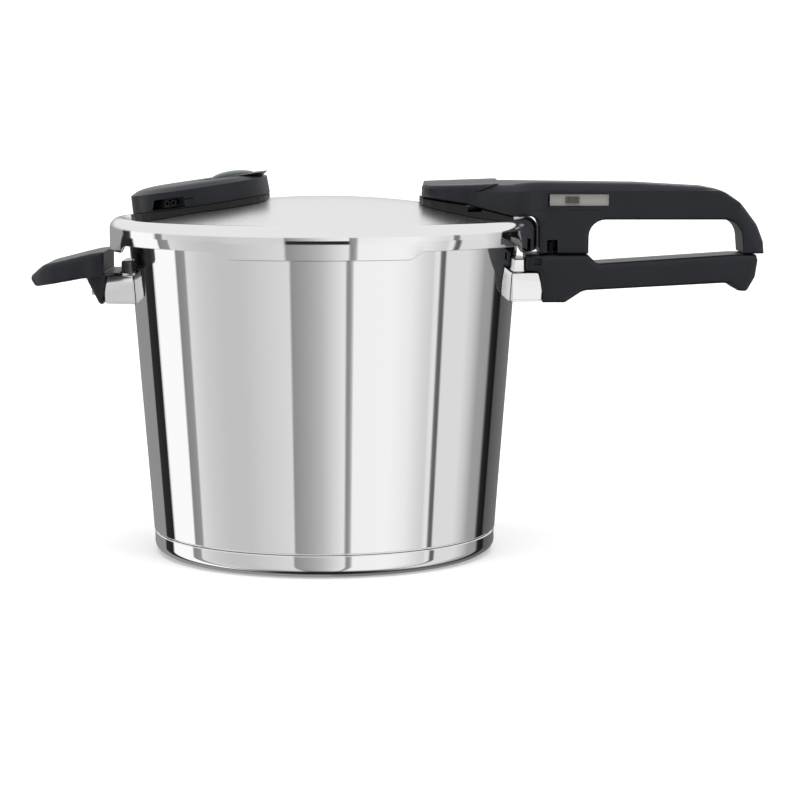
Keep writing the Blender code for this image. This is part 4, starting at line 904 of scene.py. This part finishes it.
guard_steel = polished_steel("guard_mirror_steel", 0.16, 0.004)
for name, node, turn, drop in (("pot_guard", "pot_flame_guard", 1, 0.0),
    ("helper_guard", "helper_flame_guard", -1, 0.0012)):
    guard = guard_mesh(name, GUARD_FOOT - drop, GUARD_TOP - drop, turn)
    dress(guard, guard_steel, "pot", [node])


# ---------------------------------------------------------------------------------------------------------
# Valve housing: a tilted satin moulding over the pressure valve, with a rounded plan, a soft ridge round its
# top and a steam window in each side. A black base plate under it fits the dome.

HOUSING_TILT = math.radians(8.3)
HOUSING_MID, HOUSING_L, HOUSING_W, HOUSING_H, HOUSING_CORNER = -(LID_R - 0.0516), 0.039, 0.044, 0.0130, 0.026
VALVE_X = -0.0495
housing_frame = Matrix.Translation((HOUSING_MID, 0,
    dome_z(-HOUSING_MID) + 0.0016)) @ Matrix.Rotation(-HOUSING_TILT, 4, "Y")
valve_slope = 2 * (DOME_TOP - DOME_EDGE) * VALVE_X / DOME_R ** 2
valve_frame = Matrix.Translation((VALVE_X, 0,
    dome_z(abs(VALVE_X)))) @ Matrix.Rotation(math.atan(valve_slope), 4, "Y")
WELL_R = 0.0163
WINDOW_X0, WINDOW_X1, WINDOW_Z0, WINDOW_Z1, WINDOW_LEAN = -0.0250, -0.0060, 0.0006, 0.0061, 0.0020


def housing_plan(angle, shrink):
    """Points of the housing's rounded plan at given angles from its middle, moved in by `shrink`."""
    fine = np.radians(np.linspace(0, 360, 2881))
    half = np.array((HOUSING_L, HOUSING_W)) - shrink
    corner = HOUSING_CORNER - shrink
    cx, cy = np.cos(fine), np.sin(fine)
    low, high = np.zeros(len(fine)), np.full(len(fine), 0.08)
    for _ in range(40):
        middle = (low + high) / 2
        x, y = np.abs(middle * cx), np.abs(middle * cy)
        dx, dy = np.maximum(x - (half[0] - corner), 0), np.maximum(y - (half[1] - corner), 0)
        inside = np.hypot(dx, dy) < corner
        low, high = np.where(inside, middle, low), np.where(inside, high, middle)
    reach = np.interp(angle, fine, low)
    return np.stack([reach * np.cos(angle), reach * np.sin(angle)], -1)


def housing_shell():
    """The housing as one closed grid: column i stands at a plan angle, and row j runs up the outer side,
    over the ridge, across the top to the indicator's well, down the well and back along the underside."""
    window_edges = [-128.2, -128.0, -127.8, -98.4, -98.2, -98.0]
    angle = np.unique(np.round(np.concatenate([np.linspace(-180, 180, 640, endpoint=False),
        np.linspace(-135, -90, 260),
                                               np.linspace(90, 135, 260), window_edges]), 3))
    angle = np.radians(angle[angle < 180])
    count = len(angle)
    rows = []
    for z in [0.0, 0.0002, *np.linspace(0.0004, HOUSING_H - 0.0034, 44)]:
        rows.append((housing_plan(angle, 0.0005 * (z / HOUSING_H)), z))
    ridge = HOUSING_H - 0.0032
    for shrink, rise in ((0.0006, 0.0001), (0.0009, 0.0002), (0.0011, 0.0003), (0.0024, 0.0010),
        (0.0040, 0.0018), (0.0050, 0.0022),
                         (0.0066, 0.0026), (0.0090, 0.0029), (0.0120, 0.0031), (0.0150, 0.0032)):
        rows.append((housing_plan(angle, shrink), ridge + rise))
    well = np.array(((VALVE_X - HOUSING_MID) * math.cos(HOUSING_TILT), 0.0))
    turn = angle[:, None]
    rim = well + (WELL_R + 0.0040) * np.hstack([np.cos(turn), np.sin(turn)])
    inner = housing_plan(angle, 0.0150)
    for share, rise in ((0.35, 0.0032), (0.7, 0.0032), (1.0, 0.0030)):
        rows.append((inner + (rim - inner) * share, ridge + rise))
    for radius, z in ((WELL_R + 0.0016, ridge + 0.0014), (WELL_R + 0.0004, ridge + 0.0008),
        (WELL_R, ridge + 0.0002), (WELL_R, 0.0)):
        rows.append((well + radius * np.hstack([np.cos(turn), np.sin(turn)]), z))
    grid = np.stack([np.hstack([plan, np.full((count, 1), z)]) for plan, z in rows], 1)
    x, y, z = grid[..., 0], grid[..., 1], grid[..., 2]
    start = WINDOW_X0 + WINDOW_LEAN * (z - WINDOW_Z0) / (WINDOW_Z1 - WINDOW_Z0)
    soft = 0.00025
    mask = np.clip((x - start) / soft, 0, 1) * np.clip((WINDOW_X1 - x) / soft, 0, 1)
    mask *= np.clip((z - WINDOW_Z0) / soft, 0, 1) * np.clip((WINDOW_Z1 - z) / soft, 0, 1)
    slit = np.clip((x - WINDOW_X1) / soft + 1, 0, 1) * np.clip((WINDOW_X1 + 0.0055 - x) / soft, 0,
        1) * (np.abs(z - 0.0046) < 0.00022)
    deep = np.maximum(0.0072 * mask, 0.0012 * slit)
    on_side = np.abs(y) > 0.030
    grid[..., 1] = y - np.sign(y) * deep * on_side
    rows_n = grid.shape[1]
    i, j = np.meshgrid(np.arange(count), np.arange(rows_n), indexing="ij")
    i2, j2 = (i + 1) % count, (j + 1) % rows_n
    quads = np.stack([i * rows_n + j, i2 * rows_n + j, i2 * rows_n + j2, i * rows_n + j2], -1).reshape(-1, 4)
    points = grid.reshape(-1, 3)
    place = np.array(housing_frame)
    return sheet_mesh("valve_housing_moulding", points @ place[:3, :3].T + place[:3, 3], quads.tolist())


dress(housing_shell(), handle_plastic, "lid", ["valve_housing"])


# ---------------------------------------------------------------------------------------------------------
# Pressure indicator: a glossy dark green button that rises through a pale ring as the pressure builds.

CAP_R, CAP_FOOT, CAP_EDGE, CAP_RISE, RING_OUT = 0.0132, 0.0093, 0.0135, 0.0040, 0.0160
swing = np.radians(np.linspace(0, 90, 20))
cap_line = np.vstack([
    np.stack([CAP_R * np.sin(swing), CAP_EDGE + CAP_RISE * np.cos(swing)], -1),
    [(CAP_R, CAP_FOOT + 0.0004), (CAP_R - 0.0004, CAP_FOOT)],
    [(0, CAP_FOOT)],
])
cap_line[0, 0] = 0
cap_green, nodes, links, shader = base_material("indicator_green", (0.010, 0.024, 0.020), 0.16, 0.0)
where = nodes.new("ShaderNodeTexCoord")
haze = nodes.new("ShaderNodeTexNoise")
haze.inputs["Scale"].default_value = 90.0
links.new(where.outputs["Object"], haze.inputs["Vector"])
haze_range = nodes.new("ShaderNodeMapRange")
haze_range.inputs["To Min"].default_value, haze_range.inputs["To Max"].default_value = 0.12, 0.22
links.new(haze.outputs["Fac"], haze_range.inputs["Value"])
links.new(haze_range.outputs["Result"], shader.inputs["Roughness"])
dress(turned("indicator_button", cap_line, 96, frame_matrix=valve_frame), cap_green, "indicator",
    ["indicator_cap"])
ring_line = rounded_line([
    (CAP_R + 0.0004, 0.0137, 0.0004), (RING_OUT - 0.0002, 0.0136, 0.0012), (RING_OUT, 0.0108, 0.0003),
    (CAP_R + 0.0004, 0.0108, 0.0002),
], 5, closed=True)


# ---------------------------------------------------------------------------------------------------------
# Small steel parts: brackets, screws, springs and the valves' turned bodies, in satin steel with a fine grain.

def satin_metal(name, color, roughness):
    """Bead-blasted or turned metal: a fine grain in the roughness and slight staining of the colour."""
    material, nodes, links, shader = base_material(name, color, roughness, 1.0)
    where = nodes.new("ShaderNodeTexCoord")
    grain = nodes.new("ShaderNodeTexNoise")
    grain.inputs["Scale"].default_value = 700.0
    grain.inputs["Detail"].default_value = 4.0
    links.new(where.outputs["Object"], grain.inputs["Vector"])
    spread = nodes.new("ShaderNodeMapRange")
    spread.inputs["To Min"].default_value = roughness * 0.75
    spread.inputs["To Max"].default_value = roughness * 1.3
    links.new(grain.outputs["Fac"], spread.inputs["Value"])
    links.new(spread.outputs["Result"], shader.inputs["Roughness"])
    stain = nodes.new("ShaderNodeTexNoise")
    stain.inputs["Scale"].default_value = 40.0
    links.new(where.outputs["Object"], stain.inputs["Vector"])
    tint = nodes.new("ShaderNodeValToRGB")
    tint.color_ramp.elements[0].color = (*(0.88 * c for c in color), 1.0)
    tint.color_ramp.elements[1].color = (*color, 1.0)
    links.new(stain.outputs["Fac"], tint.inputs["Fac"])
    links.new(tint.outputs["Color"], shader.inputs["Base Color"])
    return material


satin = satin_metal("satin_steel", (0.62, 0.62, 0.63), 0.30)
aluminium = satin_metal("core_aluminium", (0.74, 0.75, 0.77), 0.38)
dark_steel = satin_metal("blackened_steel", (0.030, 0.031, 0.036), 0.42)
dress(turned("indicator_collar", ring_line, 96, frame_matrix=valve_frame),
    satin_metal("collar_steel", (0.30, 0.32, 0.33), 0.34),
      "lid", ["indicator_ring"])

# ---------------------------------------------------------------------------------------------------------
# Black base plates, steam outlets, the release slider with its ribbed pads, and the gaskets keep their shapes.

black = moulded_plastic("base_plate_black", (0.0055, 0.0055, 0.0055), 0.46)
slider_grey = moulded_plastic("slider_warm_grey", (0.36, 0.345, 0.33), 0.38)
pad_grey = moulded_plastic("pad_dark_grey", (0.085, 0.078, 0.070), 0.55)
node_finish = {
    "handle_plastic": handle_plastic, "black_plastic": black, "satin_steel": satin,
    "polished_steel": guard_steel,
    "slider_plastic": slider_grey, "grip_insert": pad_grey, "silicone": silicone,
    "indicator_green": cap_green,
    "aluminium": aluminium,
}
record_slots = {entry["node"]: entry["material_slot"] for entry in frame["record"]["subparts"]}
for node, obj in frame["nodes"].items():
    obj.data.materials.clear()
    obj.data.materials.append(dark_steel if node == "lock_catch" else node_finish[record_slots[node]])
